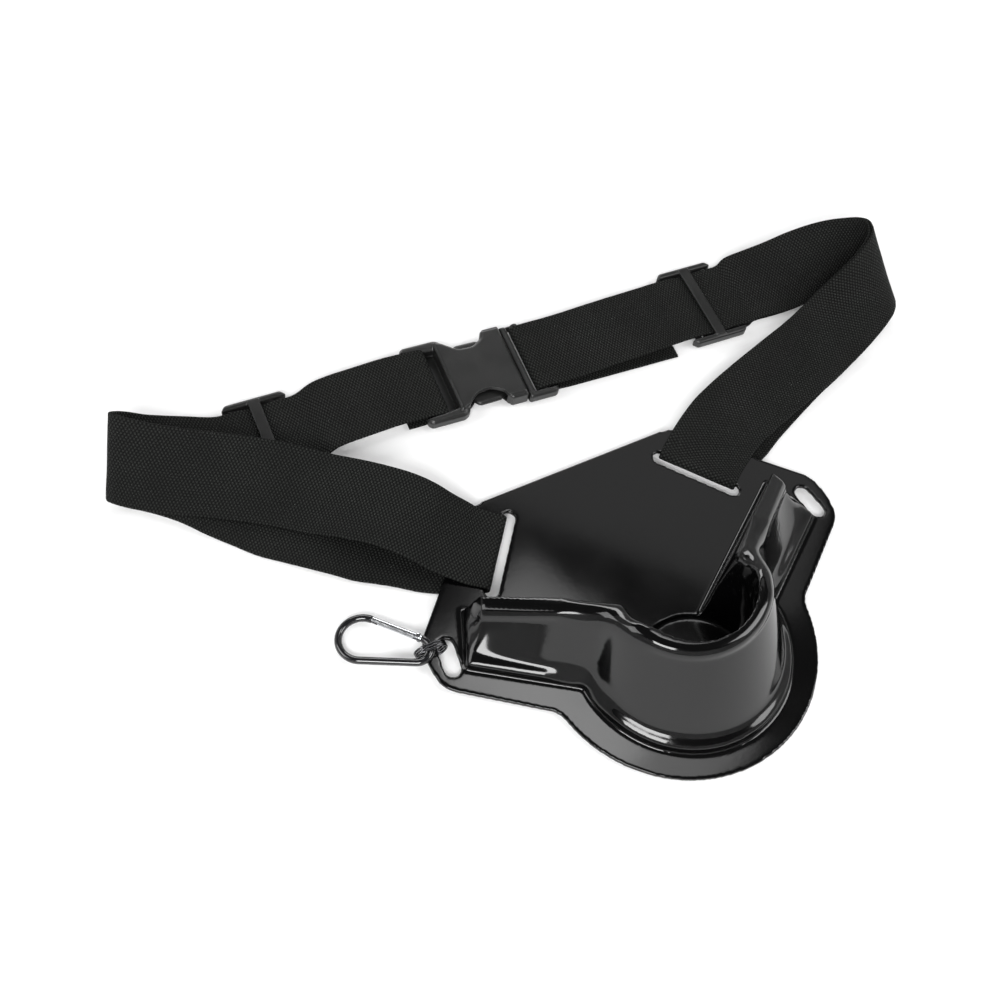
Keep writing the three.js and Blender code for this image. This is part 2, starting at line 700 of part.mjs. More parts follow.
// A rounded slab: its outline is a rounded rectangle, and its top and bottom edges are eased
function slab(x0, y0, x1, y1, z0, z1, radius, ease) {
  const outline = roundedOutline([
    { x: x0, y: y0, r: radius },
    { x: x1, y: y0, r: radius },
    { x: x1, y: y1, r: radius },
    { x: x0, y: y1, r: radius },
  ], 3);
  return new THREE.ExtrudeGeometry(new THREE.Shape(outline), {
    depth: z1 - z0 - 2 * ease,
    bevelEnabled: true,
    bevelThickness: ease,
    bevelSize: ease,
    bevelOffset: -ease,
    bevelSegments: 1,
  }).translate(0, 0, z0 + ease);
}

// A slide lies with X along the webbing and Y along its width, Y = 0 at the webbing's lower edge
function triGlideGeometry() {
  const t = triGlide;
  const low = -t.sideGap - t.rail;
  const high = webbing.width + t.sideGap + t.rail;
  const half = t.depth / 2;
  const rails = [
    solid(slab(-half, low, half, low + t.rail, clearance, t.height, 1.6, 0.8)),
    solid(slab(-half, high - t.rail, half, high, clearance, t.height, 1.6, 0.8)),
  ];
  const inside = t.rail / 2;
  const bars = [-1, 1].map((end) => {
    const x = end * (half - t.outerBar / 2 - 1.5);
    return solid(block(x - t.outerBar / 2, low + inside, t.outerBarLow, x + t.outerBar / 2, high - inside, t.outerBarHigh));
  });
  const centre = solid(block(-t.centreBar / 2, low + inside, t.centreBarLow, t.centreBar / 2, high - inside, t.height + 1));
  return geometryOf(joined([...rails, ...bars, centre]));
}

// The buckle lies with X along the webbing and Y along its width, Y = 0 at its middle.
// X = 0 is the socket's open face; the socket reaches to -X.
const socketBack = -buckle.socketLength;
const socketBarX = socketBack - buckle.socketBar;
const frameWidth = webbing.width + 2 * (buckle.sideGap + buckle.rail);
const strapBar = (x) => new THREE.CylinderGeometry(
  buckle.barHeight / 2,
  buckle.barHeight / 2,
  frameWidth - buckle.rail,
  12,
).scale(buckle.barWidth / buckle.barHeight, 1, 1).translate(x, 0, buckle.barZ);

function frameRails(from, to) {
  const half = frameWidth / 2;
  return [-1, 1].map((side) => {
    const y0 = side > 0 ? half - buckle.rail : -half;
    return solid(slab(from, y0, to, y0 + buckle.rail, 1, buckle.height - 2, 2, 1));
  });
}

function socketGeometry() {
  const half = buckle.width / 2;
  const shell = solid(slab(socketBack, -half, 0, half, clearance, buckle.height, 5, 1.6));
  const wall = buckle.wall;
  const hollow = block(socketBack + 4, -half + wall, clearance + wall, 5, half - wall, buckle.height - wall);
  const windows = [-1, 1].map((side) => {
    const y = side * (half - buckle.windowDepth / 2 + 2);
    const x = socketBack + 8 + buckle.windowLength / 2;
    return solid(slab(
      x - buckle.windowLength / 2, y - buckle.windowDepth / 2 - 1,
      x + buckle.windowLength / 2, y + buckle.windowDepth / 2 + 1,
      -2, buckle.height + 2, 3.5, 0.5,
    ));
  });
  const frame = joined([
    ...frameRails(socketBarX - buckle.frameEnd, socketBack + 6),
    solid(strapBar(socketBarX)),
  ]);
  let body = shell.subtract(solid(hollow));
  for (const cut of windows) body = body.subtract(cut);
  return geometryOf(body.add(frame));
}

function prongsGeometry() {
  const half = buckle.width / 2;
  const mid = (clearance + buckle.height) / 2;
  const low = mid - buckle.prongHeight / 2;
  const high = mid + buckle.prongHeight / 2;
  const base = solid(slab(clearance, -half, buckle.baseLength, half, clearance, buckle.height - 1, 2, 1));
  const inWall = half - buckle.wall - clearance;
  const tip = socketBack + 4 + 2;
  const prongs = [-1, 1].map((side) => {
    const shaft = roundedOutline([
      { x: 2, y: inWall - 7 },
      { x: 2, y: inWall - 2 },
      { x: -buckle.prongShoulder, y: inWall - 3 },
      { x: -buckle.prongShoulder - 4, y: inWall - 0.2, r: 1 },
      { x: tip + 4, y: inWall - 0.2, r: 4 },
      { x: tip, y: inWall - buckle.prongWidth, r: 2 },
      { x: -buckle.prongShoulder - 8, y: inWall - buckle.prongWidth, r: 3 },
    ], 3).map((p) => flat2(p.x, side * p.y));
    const shape = new THREE.Shape(side > 0 ? shaft : shaft.reverse());
    return solid(extruded(shape, low, high));
  });
  const guide = solid(block(tip + 6, -buckle.guideWidth / 2, low + 1, 2, buckle.guideWidth / 2, high - 1));
  const frame = joined([
    ...frameRails(clearance, buckle.prongsBar + buckle.prongsEnd),
    solid(strapBar(buckle.prongsBar)),
  ]);
  return geometryOf(joined([base, ...prongs, guide, frame]));
}

// A three-turn ring wound round the ear's rim and the hook's nose
function ringGeometry() {
  const straight = ring.length;
  const leftX = ring.fromSide - plate.earHalfWidth;
  const rightX = leftX + straight;
  const lengthOfTurn = 2 * straight + 2 * Math.PI * ring.roundRadius;
  class RingPath extends THREE.Curve {
    getPoint(t, target = new THREE.Vector3()) {
      const turns = ring.turns * t;
      let s = (turns - Math.floor(turns)) * lengthOfTurn;
      const arc = Math.PI * ring.roundRadius;
      let x = 0;
      let z = 0;
      if (s < straight) {
        x = leftX + s;
        z = -ring.roundRadius;
      } else if (s < straight + arc) {
        const a = (s - straight) / ring.roundRadius - Math.PI / 2;
        x = rightX + ring.roundRadius * Math.cos(a);
        z = ring.roundRadius * Math.sin(a);
      } else if (s < 2 * straight + arc) {
        x = rightX - (s - straight - arc);
        z = ring.roundRadius;
      } else {
        const a = (s - 2 * straight - arc) / ring.roundRadius + Math.PI / 2;
        x = leftX + ring.roundRadius * Math.cos(a);
        z = ring.roundRadius * Math.sin(a);
      }
      const y = ring.y + (t - 0.5) * ring.turns * ring.pitch;
      return target.set(x, y, z + ring.roundRadius + ring.wire / 2 + 0.1);
    }
  }
  return wireAlong(new RingPath(), ring.wire / 2, ring.turns * 20, 6);
}

function wireAlong(path, radius, steps, sides) {
  const shape = new THREE.Shape(Array.from({ length: sides }, (_, k) => {
    const angle = (2 * Math.PI * k) / sides;
    return flat2(radius * Math.cos(angle), radius * Math.sin(angle));
  }));
  return new THREE.ExtrudeGeometry(shape, { steps, extrudePath: path, bevelEnabled: false });
}

// The snap hook in its own plane: X runs from the nose's centre to the big end's centre, Z is its normal.
// The gate closes the side at +Y, hinged near the nose and latched at the big end.
const spread = Math.asin((hook.bigRadius - hook.noseRadius) / hook.centres);
const sideNormal = flat2(-Math.sin(spread), Math.cos(spread));
const gateStart = flat2(0, 0).addScaledVector(sideNormal, hook.noseRadius);
const gateEnd = flat2(hook.centres, 0).addScaledVector(sideNormal, hook.bigRadius);
const gateAlong = gateEnd.clone().sub(gateStart).normalize();
const gateLength = gateEnd.distanceTo(gateStart);

class HookPath extends THREE.Curve {
  constructor() {
    super();
    this.noseArc = hook.noseRadius * (Math.PI - 2 * spread);
    this.bigArc = hook.bigRadius * (Math.PI + 2 * spread);
    this.side = gateLength;
  }

  getPoint(t, target = new THREE.Vector3()) {
    const s = t * (this.noseArc + this.side + this.bigArc);
    const up = Math.PI / 2 + spread;
    if (s < this.noseArc) {
      const a = up + s / hook.noseRadius;
      return target.set(hook.noseRadius * Math.cos(a), hook.noseRadius * Math.sin(a), 0);
    }
    if (s < this.noseArc + this.side) {
      const p = flat2(gateStart.x, -gateStart.y).addScaledVector(flat2(gateAlong.x, -gateAlong.y), s - this.noseArc);
      return target.set(p.x, p.y, 0);
    }
    const a = -up + (s - this.noseArc - this.side) / hook.bigRadius;
    return target.set(hook.centres + hook.bigRadius * Math.cos(a), hook.bigRadius * Math.sin(a), 0);
  }
}

const hookFrame = new THREE.Matrix4()
  .makeTranslation(-plate.earHalfWidth - hook.noseBeyondSide, hook.noseY, hook.noseZ)
  .multiply(new THREE.Matrix4().makeRotationZ(radians(hook.headingDegrees)))
  .multiply(new THREE.Matrix4().makeRotationY(radians(hook.tiltDegrees)))
  .multiply(new THREE.Matrix4().makeRotationX(Math.PI));

const onGate = (along, out) => gateStart.clone().addScaledVector(gateAlong, along)
  .addScaledVector(flat2(-gateAlong.y, gateAlong.x), out);

// A flat tongue on one end of the hook's wire, which the gate's slot takes
function tongue(from, to, hole) {
  const half = hook.tongue / 2;
  const wide = hook.gateWire / 2 - 0.2;
  const corners = [onGate(from, -wide), onGate(to, -wide), onGate(to, wide), onGate(from, wide)];
  const shape = new THREE.Shape(from < to ? corners : corners.reverse());
  if (hole) {
    const centre = onGate(hole, 0);
    shape.holes.push(new THREE.Path(circlePoints(centre, hook.pinRadius + hook.pinPlay).reverse()));
  }
  return solid(extruded(shape, -half, half));
}

function circlePoints(centre, radius, sides = 12) {
  return Array.from({ length: sides }, (_, k) => {
    const angle = (2 * Math.PI * k) / sides;
    return flat2(centre.x + radius * Math.cos(angle), centre.y + radius * Math.sin(angle));
  });
}

const pinAlong = hook.tongueReach / 2 + clearance + 0.4;

function hookGeometry() {
  const wire = solid(wireAlong(new HookPath(), hook.wire / 2, 40, 8));
  const near = tongue(-0.6, hook.tongueReach + 0.8, pinAlong);
  const far = tongue(gateLength - hook.tongueReach, gateLength + 0.6, null);
  return geometryOf(wire.add(near).add(far)).applyMatrix4(hookFrame);
}

function gateGeometry() {
  const from = 2 * clearance;
  const to = gateLength - clearance;
  const rod = new THREE.CylinderGeometry(hook.gateWire / 2, hook.gateWire / 2, to - from, 10)
    .rotateZ(Math.PI / 2)
    .rotateX(Math.PI / 10)
    .translate((from + to) / 2, 0, 0)
    .rotateZ(Math.atan2(gateAlong.y, gateAlong.x))
    .translate(gateStart.x, gateStart.y, 0);
  const half = hook.slotWidth / 2;
  const wide = hook.gateWire;
  const slotShape = (a, b) => new THREE.Shape([onGate(a, -wide), onGate(b, -wide), onGate(b, wide), onGate(a, wide)]);
  const nearSlot = solid(extruded(slotShape(-2, hook.tongueReach + 1.9), -half, half));
  const farSlot = solid(extruded(slotShape(gateLength - hook.tongueReach - 0.8, gateLength + 2), -half, half));
  const eye = new THREE.Shape(circlePoints(onGate(pinAlong, 0), hook.pinRadius + hook.pinPlay));
  const bore = solid(extruded(eye, -hook.gateWire, hook.gateWire));
  return geometryOf(solid(rod).subtract(nearSlot).subtract(farSlot).subtract(bore)).applyMatrix4(hookFrame);
}

function pinGeometry() {
  const centre = onGate(pinAlong, 0);
  const reach = hook.gateWire / 2 + clearance;
  const head = 0.4;
  const profile = [
    flat2(0, -reach - head),
    flat2(hook.pinHead * 0.7, -reach - head),
    flat2(hook.pinHead, -reach - head / 2),
    flat2(hook.pinHead, -reach),
    flat2(hook.pinRadius, -reach),
    flat2(hook.pinRadius, reach),
    flat2(hook.pinHead, reach),
    flat2(hook.pinHead, reach + head / 2),
    flat2(hook.pinHead * 0.7, reach + head),
    flat2(0, reach + head),
  ];
  return new THREE.LatheGeometry(profile, 12)
    .rotateX(Math.PI / 2)
    .translate(centre.x, centre.y, 0)
    .applyMatrix4(hookFrame);
}

// The belt
const belt = new THREE.Group();
belt.name = 'fishing_fighting_belt';

function add(name, geometry, material) {
  const mesh = new THREE.Mesh(bare(geometry), material);
  mesh.geometry.computeVertexNormals();
  mesh.name = name;
  belt.add(mesh);
  return mesh;
}

// Turns a piece that lies along X and across Y to the webbing's heading
function layOnRear(mesh, side, x, y, faceDegrees) {
  mesh.rotation.z = radians(faceDegrees - 90);
  mesh.position.set(x, y, 0);
  return mesh;
}

add('waist_plate', waistPlate(), materials.plate);
add('webbing_left', webbingSide('left'), materials.webbing);
add('webbing_right', webbingSide('right'), materials.webbing);
for (const side of ['left', 'right']) {
  const glide = add(`tri_glide_${side}`, triGlideGeometry(), materials.fittings);
  layOnRear(glide, side, rear[side].glideX, rear[side].glideY, rear[side].faceDegrees);
}

// The buckle's middle line, from the left bar to the right one
const buckleAcross = widthAt(buckleFaceDegrees, 0);
const buckleAhead = point3(buckleAcross.y, -buckleAcross.x, 0);
const buckleOrigin = point3(rear.left.barX, rear.left.barY, 0)
  .addScaledVector(buckleAcross, webbing.width / 2)
  .addScaledVector(buckleAhead, -socketBarX);
for (const [name, geometry] of [['buckle_socket', socketGeometry()], ['buckle_prongs', prongsGeometry()]]) {
  const half = add(name, geometry, materials.fittings);
  half.rotation.z = radians(buckleFaceDegrees - 90);
  half.position.copy(buckleOrigin);
}

add('split_ring', ringGeometry(), materials.steel);
add('snap_hook', hookGeometry(), materials.blackSteel);
add('hook_gate', gateGeometry(), materials.steel);
add('gate_pin', pinGeometry(), materials.steel);

// The origin is the middle of the bottom of the belt's box
belt.updateMatrixWorld(true);
const box = new THREE.Box3().setFromObject(belt, true);
const originShift = box.getCenter(new THREE.Vector3()).setZ(box.min.z).negate();
for (const mesh of belt.children) mesh.position.add(originShift);

export default belt;
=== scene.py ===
# Fishing fighting belt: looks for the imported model, in metres, in the model's own frame
import math
import bmesh
import bpy
import numpy
from mathutils import Matrix, Vector, noise


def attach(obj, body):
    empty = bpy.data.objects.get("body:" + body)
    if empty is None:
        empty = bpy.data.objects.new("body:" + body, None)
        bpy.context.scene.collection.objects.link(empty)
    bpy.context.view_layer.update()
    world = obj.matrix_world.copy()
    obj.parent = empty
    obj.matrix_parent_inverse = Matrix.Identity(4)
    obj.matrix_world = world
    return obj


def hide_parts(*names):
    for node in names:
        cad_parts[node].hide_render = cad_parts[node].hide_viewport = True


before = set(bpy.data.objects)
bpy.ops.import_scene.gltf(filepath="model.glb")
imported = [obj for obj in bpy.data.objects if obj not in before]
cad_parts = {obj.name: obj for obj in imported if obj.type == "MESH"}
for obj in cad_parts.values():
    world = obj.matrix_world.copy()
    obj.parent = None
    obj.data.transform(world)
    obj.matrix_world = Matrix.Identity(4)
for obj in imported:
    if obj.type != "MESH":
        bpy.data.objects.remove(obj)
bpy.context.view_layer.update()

MM = 0.001
ORIGIN = Vector((-3.55, -85.1, 0.0))
CLEARANCE = 0.35

# Camera at the photograph's place
CAMERA_PLACE = Vector((-0.30027, -0.27630, 0.67011))
CAMERA_HEADING = 38.134
CAMERA_DROP = 59.157
CAMERA_ROLL = 12.411
CAMERA_LENS = 46.8


def placed(name, data):
    piece = bpy.data.objects.new(name, data)
    bpy.context.scene.collection.objects.link(piece)
    return piece


def make_camera():
    heading = math.radians(CAMERA_HEADING)
    drop = math.radians(CAMERA_DROP)
    roll = math.radians(CAMERA_ROLL)
    forward = math.cos(drop)
    ahead = Vector((math.sin(heading) * forward, math.cos(heading) * forward, -math.sin(drop)))
    level = ahead.cross(Vector((0, 0, 1))).normalized()
    rise = level.cross(ahead)
    right = level * math.cos(roll) + rise * math.sin(roll)
    up = right.cross(ahead)
    data = bpy.data.cameras.new("camera")
    data.lens = CAMERA_LENS
    data.sensor_width = 36
    data.clip_start = 0.01
    camera = placed("camera", data)
    turn = Matrix((right, up, -ahead)).transposed().to_4x4()
    camera.matrix_world = Matrix.Translation(CAMERA_PLACE) @ turn
    bpy.context.scene.camera = camera


make_camera()


# Node trees for materials: noise mostly stays between these two values
NOISE_LOW = 0.3
NOISE_HIGH = 0.7


class Shader:
    """A material's node tree with short ways to add and join nodes."""

    def __init__(self, name):
        self.material = bpy.data.materials.new(name)
        self.material.use_nodes = True
        self.nodes = self.material.node_tree.nodes
        self.links = self.material.node_tree.links
        self.surface = self.nodes["Principled BSDF"]

    def add(self, kind, **settings):
        node = self.nodes.new(kind)
        for key, value in settings.items():
            setattr(node, key, value)
        return node

    def join(self, source, target):
        self.links.new(source, target)

    def math(self, operation, *values):
        node = self.add("ShaderNodeMath", operation=operation)
        for index, value in enumerate(values):
            if isinstance(value, (int, float)):
                node.inputs[index].default_value = value
            else:
                self.join(value, node.inputs[index])
        return node.outputs[0]

    def noise(self, scale, detail=3.0, roughness=0.5, stretch=(1, 1, 1)):
        where = self.add("ShaderNodeTexCoord")
        place = self.add("ShaderNodeMapping")
        place.inputs["Scale"].default_value = stretch
        self.join(where.outputs["Object"], place.inputs["Vector"])
        node = self.add("ShaderNodeTexNoise")
        node.inputs["Scale"].default_value = scale
        node.inputs["Detail"].default_value = detail
        node.inputs["Roughness"].default_value = roughness
        self.join(place.outputs[0], node.inputs["Vector"])
        return node.outputs["Fac"]

    def ramp(self, value, low, high, place_low=NOISE_LOW, place_high=NOISE_HIGH):
        node = self.add("ShaderNodeMapRange")
        node.inputs["From Min"].default_value = place_low
        node.inputs["From Max"].default_value = place_high
        node.inputs["To Min"].default_value = low
        node.inputs["To Max"].default_value = high
        self.join(value, node.inputs["Value"])
        return node.outputs[0]

    def blend(self, factor, first, second):
        node = self.add("ShaderNodeMix", data_type="RGBA")
        for socket in node.inputs:
            if socket.name == "A" and socket.type == "RGBA":
                socket.default_value = (*first, 1)
            if socket.name == "B" and socket.type == "RGBA":
                socket.default_value = (*second, 1)
        self.join(factor, node.inputs["Factor"])
        return next(socket for socket in node.outputs if socket.type == "RGBA")

    def bump(self, height, strength, distance):
        node = self.add("ShaderNodeBump")
        node.inputs["Strength"].default_value = strength
        node.inputs["Distance"].default_value = distance
        self.join(height, node.inputs["Height"])
        self.join(node.outputs[0], self.surface.inputs["Normal"])

    def put(self, socket, value):
        if isinstance(value, bpy.types.NodeSocket):
            self.join(value, self.surface.inputs[socket])
        else:
            self.surface.inputs[socket].default_value = value


def glossy_plate_plastic():
    shader = Shader("glossy_black_moulding")
    cloud = shader.noise(35.0, 4.0)
    scuff = shader.noise(260.0, 5.0, 0.65, (1, 0.25, 1))
    shader.put("Base Color", shader.blend(cloud, (0.0010, 0.0010, 0.0011), (0.0018, 0.0018, 0.0019)))
    smooth = shader.ramp(cloud, 0.075, 0.115)
    rough = shader.math("ADD", smooth, shader.ramp(scuff, 0.0, 0.04, 0.6, 0.85))
    shader.put("Roughness", rough)
    shader.put("IOR", 1.5)
    peel = shader.noise(420.0, 2.0)
    shader.bump(peel, 0.03, 0.0002)
    return shader.material


def satin_fittings_plastic():
    shader = Shader("satin_black_moulding")
    grain = shader.noise(1600.0, 3.0)
    cloud = shader.noise(60.0, 3.0)
    shader.put("Base Color", shader.blend(cloud, (0.0070, 0.0072, 0.0070), (0.0100, 0.0100, 0.0097)))
    shader.put("Roughness", shader.ramp(cloud, 0.28, 0.38))
    shader.bump(grain, 0.22, 0.00015)
    return shader.material


def bare_steel(name, colour, smooth, rough, grain):
    shader = Shader(name)
    streak = shader.noise(300.0, 3.0, 0.5, (1, 1, 4))
    shader.put("Base Color", colour)
    shader.put("Metallic", 1.0)
    shader.put("Roughness", shader.ramp(streak, smooth, rough))
    if grain:
        shader.bump(streak, grain, 0.0001)
    return shader.material


def black_coated_steel():
    shader = Shader("black_coated_steel")
    cloud = shader.noise(220.0, 3.0)
    shader.put("Base Color", shader.blend(cloud, (0.006, 0.006, 0.007), (0.012, 0.012, 0.013)))
    shader.put("Roughness", shader.ramp(cloud, 0.05, 0.12))
    shader.put("Coat Weight", 0.6)
    shader.put("Coat Roughness", 0.06)
    shader.bump(cloud, 0.04, 0.0001)
    return shader.material


# Webbing's weave, which follows the piece's own UV map in metres: U along the webbing, V across it
WEFT_PITCH = 0.0021
WARP_PITCH = 0.0016


def black_webbing():
    shader = Shader("black_ribbed_webbing")
    where = shader.add("ShaderNodeUVMap", uv_map="weave")
    parts = shader.add("ShaderNodeSeparateXYZ")
    shader.join(where.outputs[0], parts.inputs[0])
    along = parts.outputs[0]
    across = parts.outputs[1]
    column = shader.math("DIVIDE", across, WARP_PITCH)
    odd = shader.math("MODULO", shader.math("FLOOR", column), 2.0)
    row = shader.math("ADD", shader.math("DIVIDE", along, WEFT_PITCH), shader.math("MULTIPLY", odd, 0.5))
    rib = shader.math("SINE", shader.math("MULTIPLY", shader.math("FRACT", row), math.pi))
    yarn = shader.math("SINE", shader.math("MULTIPLY", shader.math("FRACT", column), math.pi))
    crown = shader.math("ADD", shader.math("MULTIPLY", yarn, 0.75), 0.25)
    bead = shader.math("MULTIPLY", shader.math("POWER", rib, 2.4), crown)
    fuzz = shader.noise(2600.0, 3.0)
    cloud = shader.noise(28.0, 4.0)
    # Painted light and shade in the weave: the base colour runs from near black in the valleys between the
    # yarns (painted shade) to lightest on the yarns' crowns (painted highlight). The cloud only varies the
    # tone at random.
    weave_light_and_shade = shader.math("MULTIPLY", bead, shader.ramp(cloud, 0.75, 1.1))
    shader.put("Base Color", shader.blend(weave_light_and_shade, (0.0003, 0.0003, 0.0003), (0.029, 0.031, 0.0285)))
    shader.put("Roughness", shader.ramp(fuzz, 0.62, 0.85))
    shader.put("Specular IOR Level", 0.14)
    height = shader.math("ADD", bead, shader.math("MULTIPLY", fuzz, 0.25))
    shader.bump(height, 1.0, 0.0006)
    return shader.material


MATERIALS = {
    "plate": glossy_plate_plastic(),
    "webbing": black_webbing(),
    "fittings": satin_fittings_plastic(),
    "steel": bare_steel("bright_steel", (0.62, 0.63, 0.65, 1), 0.14, 0.30, 0.05),
    "dark_steel": bare_steel("dark_nickel_steel", (0.085, 0.085, 0.09, 1), 0.12, 0.26, 0),
    "black_steel": black_coated_steel(),
}


# Mesh helpers, which work in millimetres and end in metres
def lay_piece(name, mesh, material, node, body):
    """A finished piece in its material, which stands for a node of the part and rides on a body."""
    piece = placed(name, mesh)
    mesh.materials.clear()
    mesh.materials.append(MATERIALS[material])
    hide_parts(node)
    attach(piece, body)


def shade_smooth(mesh):
    mesh.polygons.foreach_set("use_smooth", [True] * len(mesh.polygons))


def loft_faces(rows, count):
    """Quads between rows of points, and a face at each end."""
    faces = []
    for i in range(rows - 1):
        for j in range(count):
            k = (j + 1) % count
            faces.append((i * count + j, i * count + k, (i + 1) * count + k, (i + 1) * count + j))
    faces.append(tuple(reversed(range(count))))
    faces.append(tuple(range((rows - 1) * count, rows * count)))
    return faces


def loft_mesh(name, rings):
    mesh = bpy.data.meshes.new(name)
    points = [tuple(point) for ring in rings for point in ring]
    mesh.from_pydata(points, [], loft_faces(len(rings), len(rings[0])))
    return outward(mesh)


def outward(mesh, merge=True):
    work = bmesh.new()
    work.from_mesh(mesh)
    if merge:
        bmesh.ops.remove_doubles(work, verts=work.verts, dist=1e-5)
    bmesh.ops.recalc_face_normals(work, faces=work.faces)
    work.to_mesh(mesh)
    work.free()
    return mesh


def prism(name, outline, low, high):
    rings = [[Vector((p[0], p[1], z)) for p in outline] for z in (low, high)]
    return loft_mesh(name, rings)


def baked(piece):
    """The piece's mesh with its modifiers applied; the piece itself goes."""
    shot = piece.evaluated_get(bpy.context.evaluated_depsgraph_get())
    mesh = bpy.data.meshes.new_from_object(shot)
    bpy.data.objects.remove(piece)
    return mesh


def carved(mesh, other, operation):
    first = placed("work", mesh)
    second = placed("tool", other)
    step = first.modifiers.new("carve", "BOOLEAN")
    step.operation = operation
    step.solver = "MANIFOLD"
    step.object = second
    result = baked(first)
    bpy.data.objects.remove(second)
    return result


def moulded(mesh, voxel, rounds):
    """The mesh as one moulding: its edges rounded by a fine remesh and a few rounds of smoothing."""
    work = placed("work", mesh)
    fine = work.modifiers.new("remesh", "REMESH")
    fine.mode = "VOXEL"
    fine.voxel_size = voxel
    ease = work.modifiers.new("ease", "SMOOTH")
    ease.factor = 0.5
    ease.iterations = rounds
    result = baked(work)
    shade_smooth(result)
    return result


def thinned(mesh, share):
    """The mesh with a share of its faces, the flat ground thinned first, and shaded flat where it is."""
    work = placed("work", mesh)
    thin = work.modifiers.new("thin", "DECIMATE")
    thin.ratio = share
    even = work.modifiers.new("even", "WEIGHTED_NORMAL")
    even.mode = "FACE_AREA"
    return baked(work)


def soften(mesh, rounds, weigh):
    """Rounds of smoothing, each point moved by its weight toward the middle of its neighbours."""
    points = numpy.empty(len(mesh.vertices) * 3)
    mesh.vertices.foreach_get("co", points)
    points = points.reshape(-1, 3)
    ends = numpy.empty(len(mesh.edges) * 2, dtype=int)
    mesh.edges.foreach_get("vertices", ends)
    one, two = ends.reshape(-1, 2).T
    count = numpy.bincount(ends, minlength=len(points)).clip(1)[:, None]
    weight = weigh(points)[:, None] * 0.5
    for _ in range(rounds):
        middle = numpy.empty_like(points)
        for axis in range(3):
            middle[:, axis] = numpy.bincount(one, points[two, axis], len(points))
            middle[:, axis] += numpy.bincount(two, points[one, axis], len(points))
        points += weight * (middle / count - points)
    mesh.vertices.foreach_set("co", points.ravel())
    mesh.update()


def smooth_step(values, low, high):
    share = numpy.clip((values - low) / (high - low), 0, 1)
    return share * share * (3 - 2 * share)


def to_metres(mesh, placing=Matrix()):
    mesh.transform(Matrix.Scale(MM, 4) @ Matrix.Translation(ORIGIN) @ placing)
    mesh.update()
    return mesh


def rounded_outline(corners, steps=8):
    """An outline through corners (x, y, radius)."""
    points = []
    for i, (x, y, radius) in enumerate(corners):
        here = Vector((x, y))
        before = (Vector(corners[i - 1][:2]) - here).normalized()
        after = (Vector(corners[(i + 1) % len(corners)][:2]) - here).normalized()
        if radius < 0.01:
            points.append(here)
            continue
        half = math.acos(max(-1.0, min(1.0, before.dot(after)))) / 2
        centre = here + (before + after).normalized() * (radius / math.sin(half))
        start = here + before * (radius / math.tan(half)) - centre
        turn = before.x * after.y - before.y * after.x
        sweep = (math.pi - 2 * half) * (-1 if turn > 0 else 1)
        for k in range(steps + 1):
            points.append(centre + start @ Matrix.Rotation(-sweep * k / steps, 2))
    return points


def stadium(x, y, length, width, degrees, steps=10):
    half = (length - width) / 2
    along = Vector((math.cos(math.radians(degrees)), math.sin(math.radians(degrees))))
    across = Vector((-along.y, along.x))
    points = []
    for end in (1, -1):
        for k in range(steps + 1):
            angle = math.pi * k / steps - math.pi / 2
            reach = end * (half + width / 2 * math.cos(angle))
            side = end * width / 2 * math.sin(angle)
            points.append(Vector((x, y)) + along * reach + across * side)
    return points


# The plate's sizes, as the part has them
PLATE_THICK = 3.0
PLATE_TILT = math.radians(0.95)
LOBE = 83.3
NECK = 14.0
EAR_EDGE = (58.4, math.radians(-53.3))
EAR_HALF_WIDTH = 136.0
SIDE_EDGE = (136.75, math.radians(44.1))
TOP_Y = 124.0
STRAP_SLOT = {"distance": 108.8, "degrees": 39.0, "along": 26.0, "length": 57.0, "width": 8.0}
EAR_SLOT = {"x": 124.0, "y": 43.0, "length": 23.0, "width": 9.5, "lean": 9.0}
RIDGE_WALL = 3.0
FOOT = {"height": 6.5, "width": 5.5}
EDGE_ROUND = 7.0
ARM = math.radians(34.5)
INNER = 5.8
TOP_WIDTH = 12.0
BASE_WIDTH = 34.0
ARM_END = 123.4
ARM_SKEW = 7.0
ARM_END_HEIGHT = 20.0
ARM_END_RUN = 5.0
ARM_SLOPE = math.tan(math.radians(22.3))
BASE_CENTRE_Y = -5.0
BASE_RADIUS = 64.0
CUP_HEIGHT = 58.0
CUP_FLOOR = (-21.4, 33.4)
CUP_RIM = (11.3, 37.0)
CUP_OUTER = (16.5, 50.5)
CUP_RECESS = 1.4
EAR_LOW_RADIUS = 17.6
EAR_HIGH_RADIUS = 19.2
TOP_RADIUS = 15.0

# Fineness of the plate's mesh, and its rounds of smoothing, which fade in or out between two heights
# or between two distances
PLATE_VOXEL = 1.0
PLATE_EASE = 6
PLATE_FACES = 0.56
FLARE = {"rounds": 34, "from": (0.6, 2.2), "to": (11.0, 18.0)}
JUNCTION = {"rounds": 150, "from": (1.0, 5.0), "reach": (8.0, 27.0)}
RIM_START = {"rounds": 60, "from": (38.0, 47.0), "reach": (7.0, 19.0)}

PLATE_LIFT = PLATE_THICK + LOBE * math.sin(PLATE_TILT)
PLATE_PLACE = Matrix.Translation((0, 0, PLATE_LIFT)) @ Matrix.Rotation(PLATE_TILT, 4, "X")
ARM_ALONG = Vector((math.cos(ARM), math.sin(ARM)))
ARM_OUT = Vector((ARM_ALONG.y, -ARM_ALONG.x))


def lerp(a, b, share):
    return a + (b - a) * share


def on_arm(along, out, side):
    p = ARM_ALONG * along + ARM_OUT * out
    return Vector((side * p.x, p.y))


def crossing(circle_y, radius, out):
    centre = Vector((0, circle_y))
    return centre.dot(ARM_ALONG) + math.sqrt(radius ** 2 - (centre.dot(ARM_OUT) - out) ** 2)


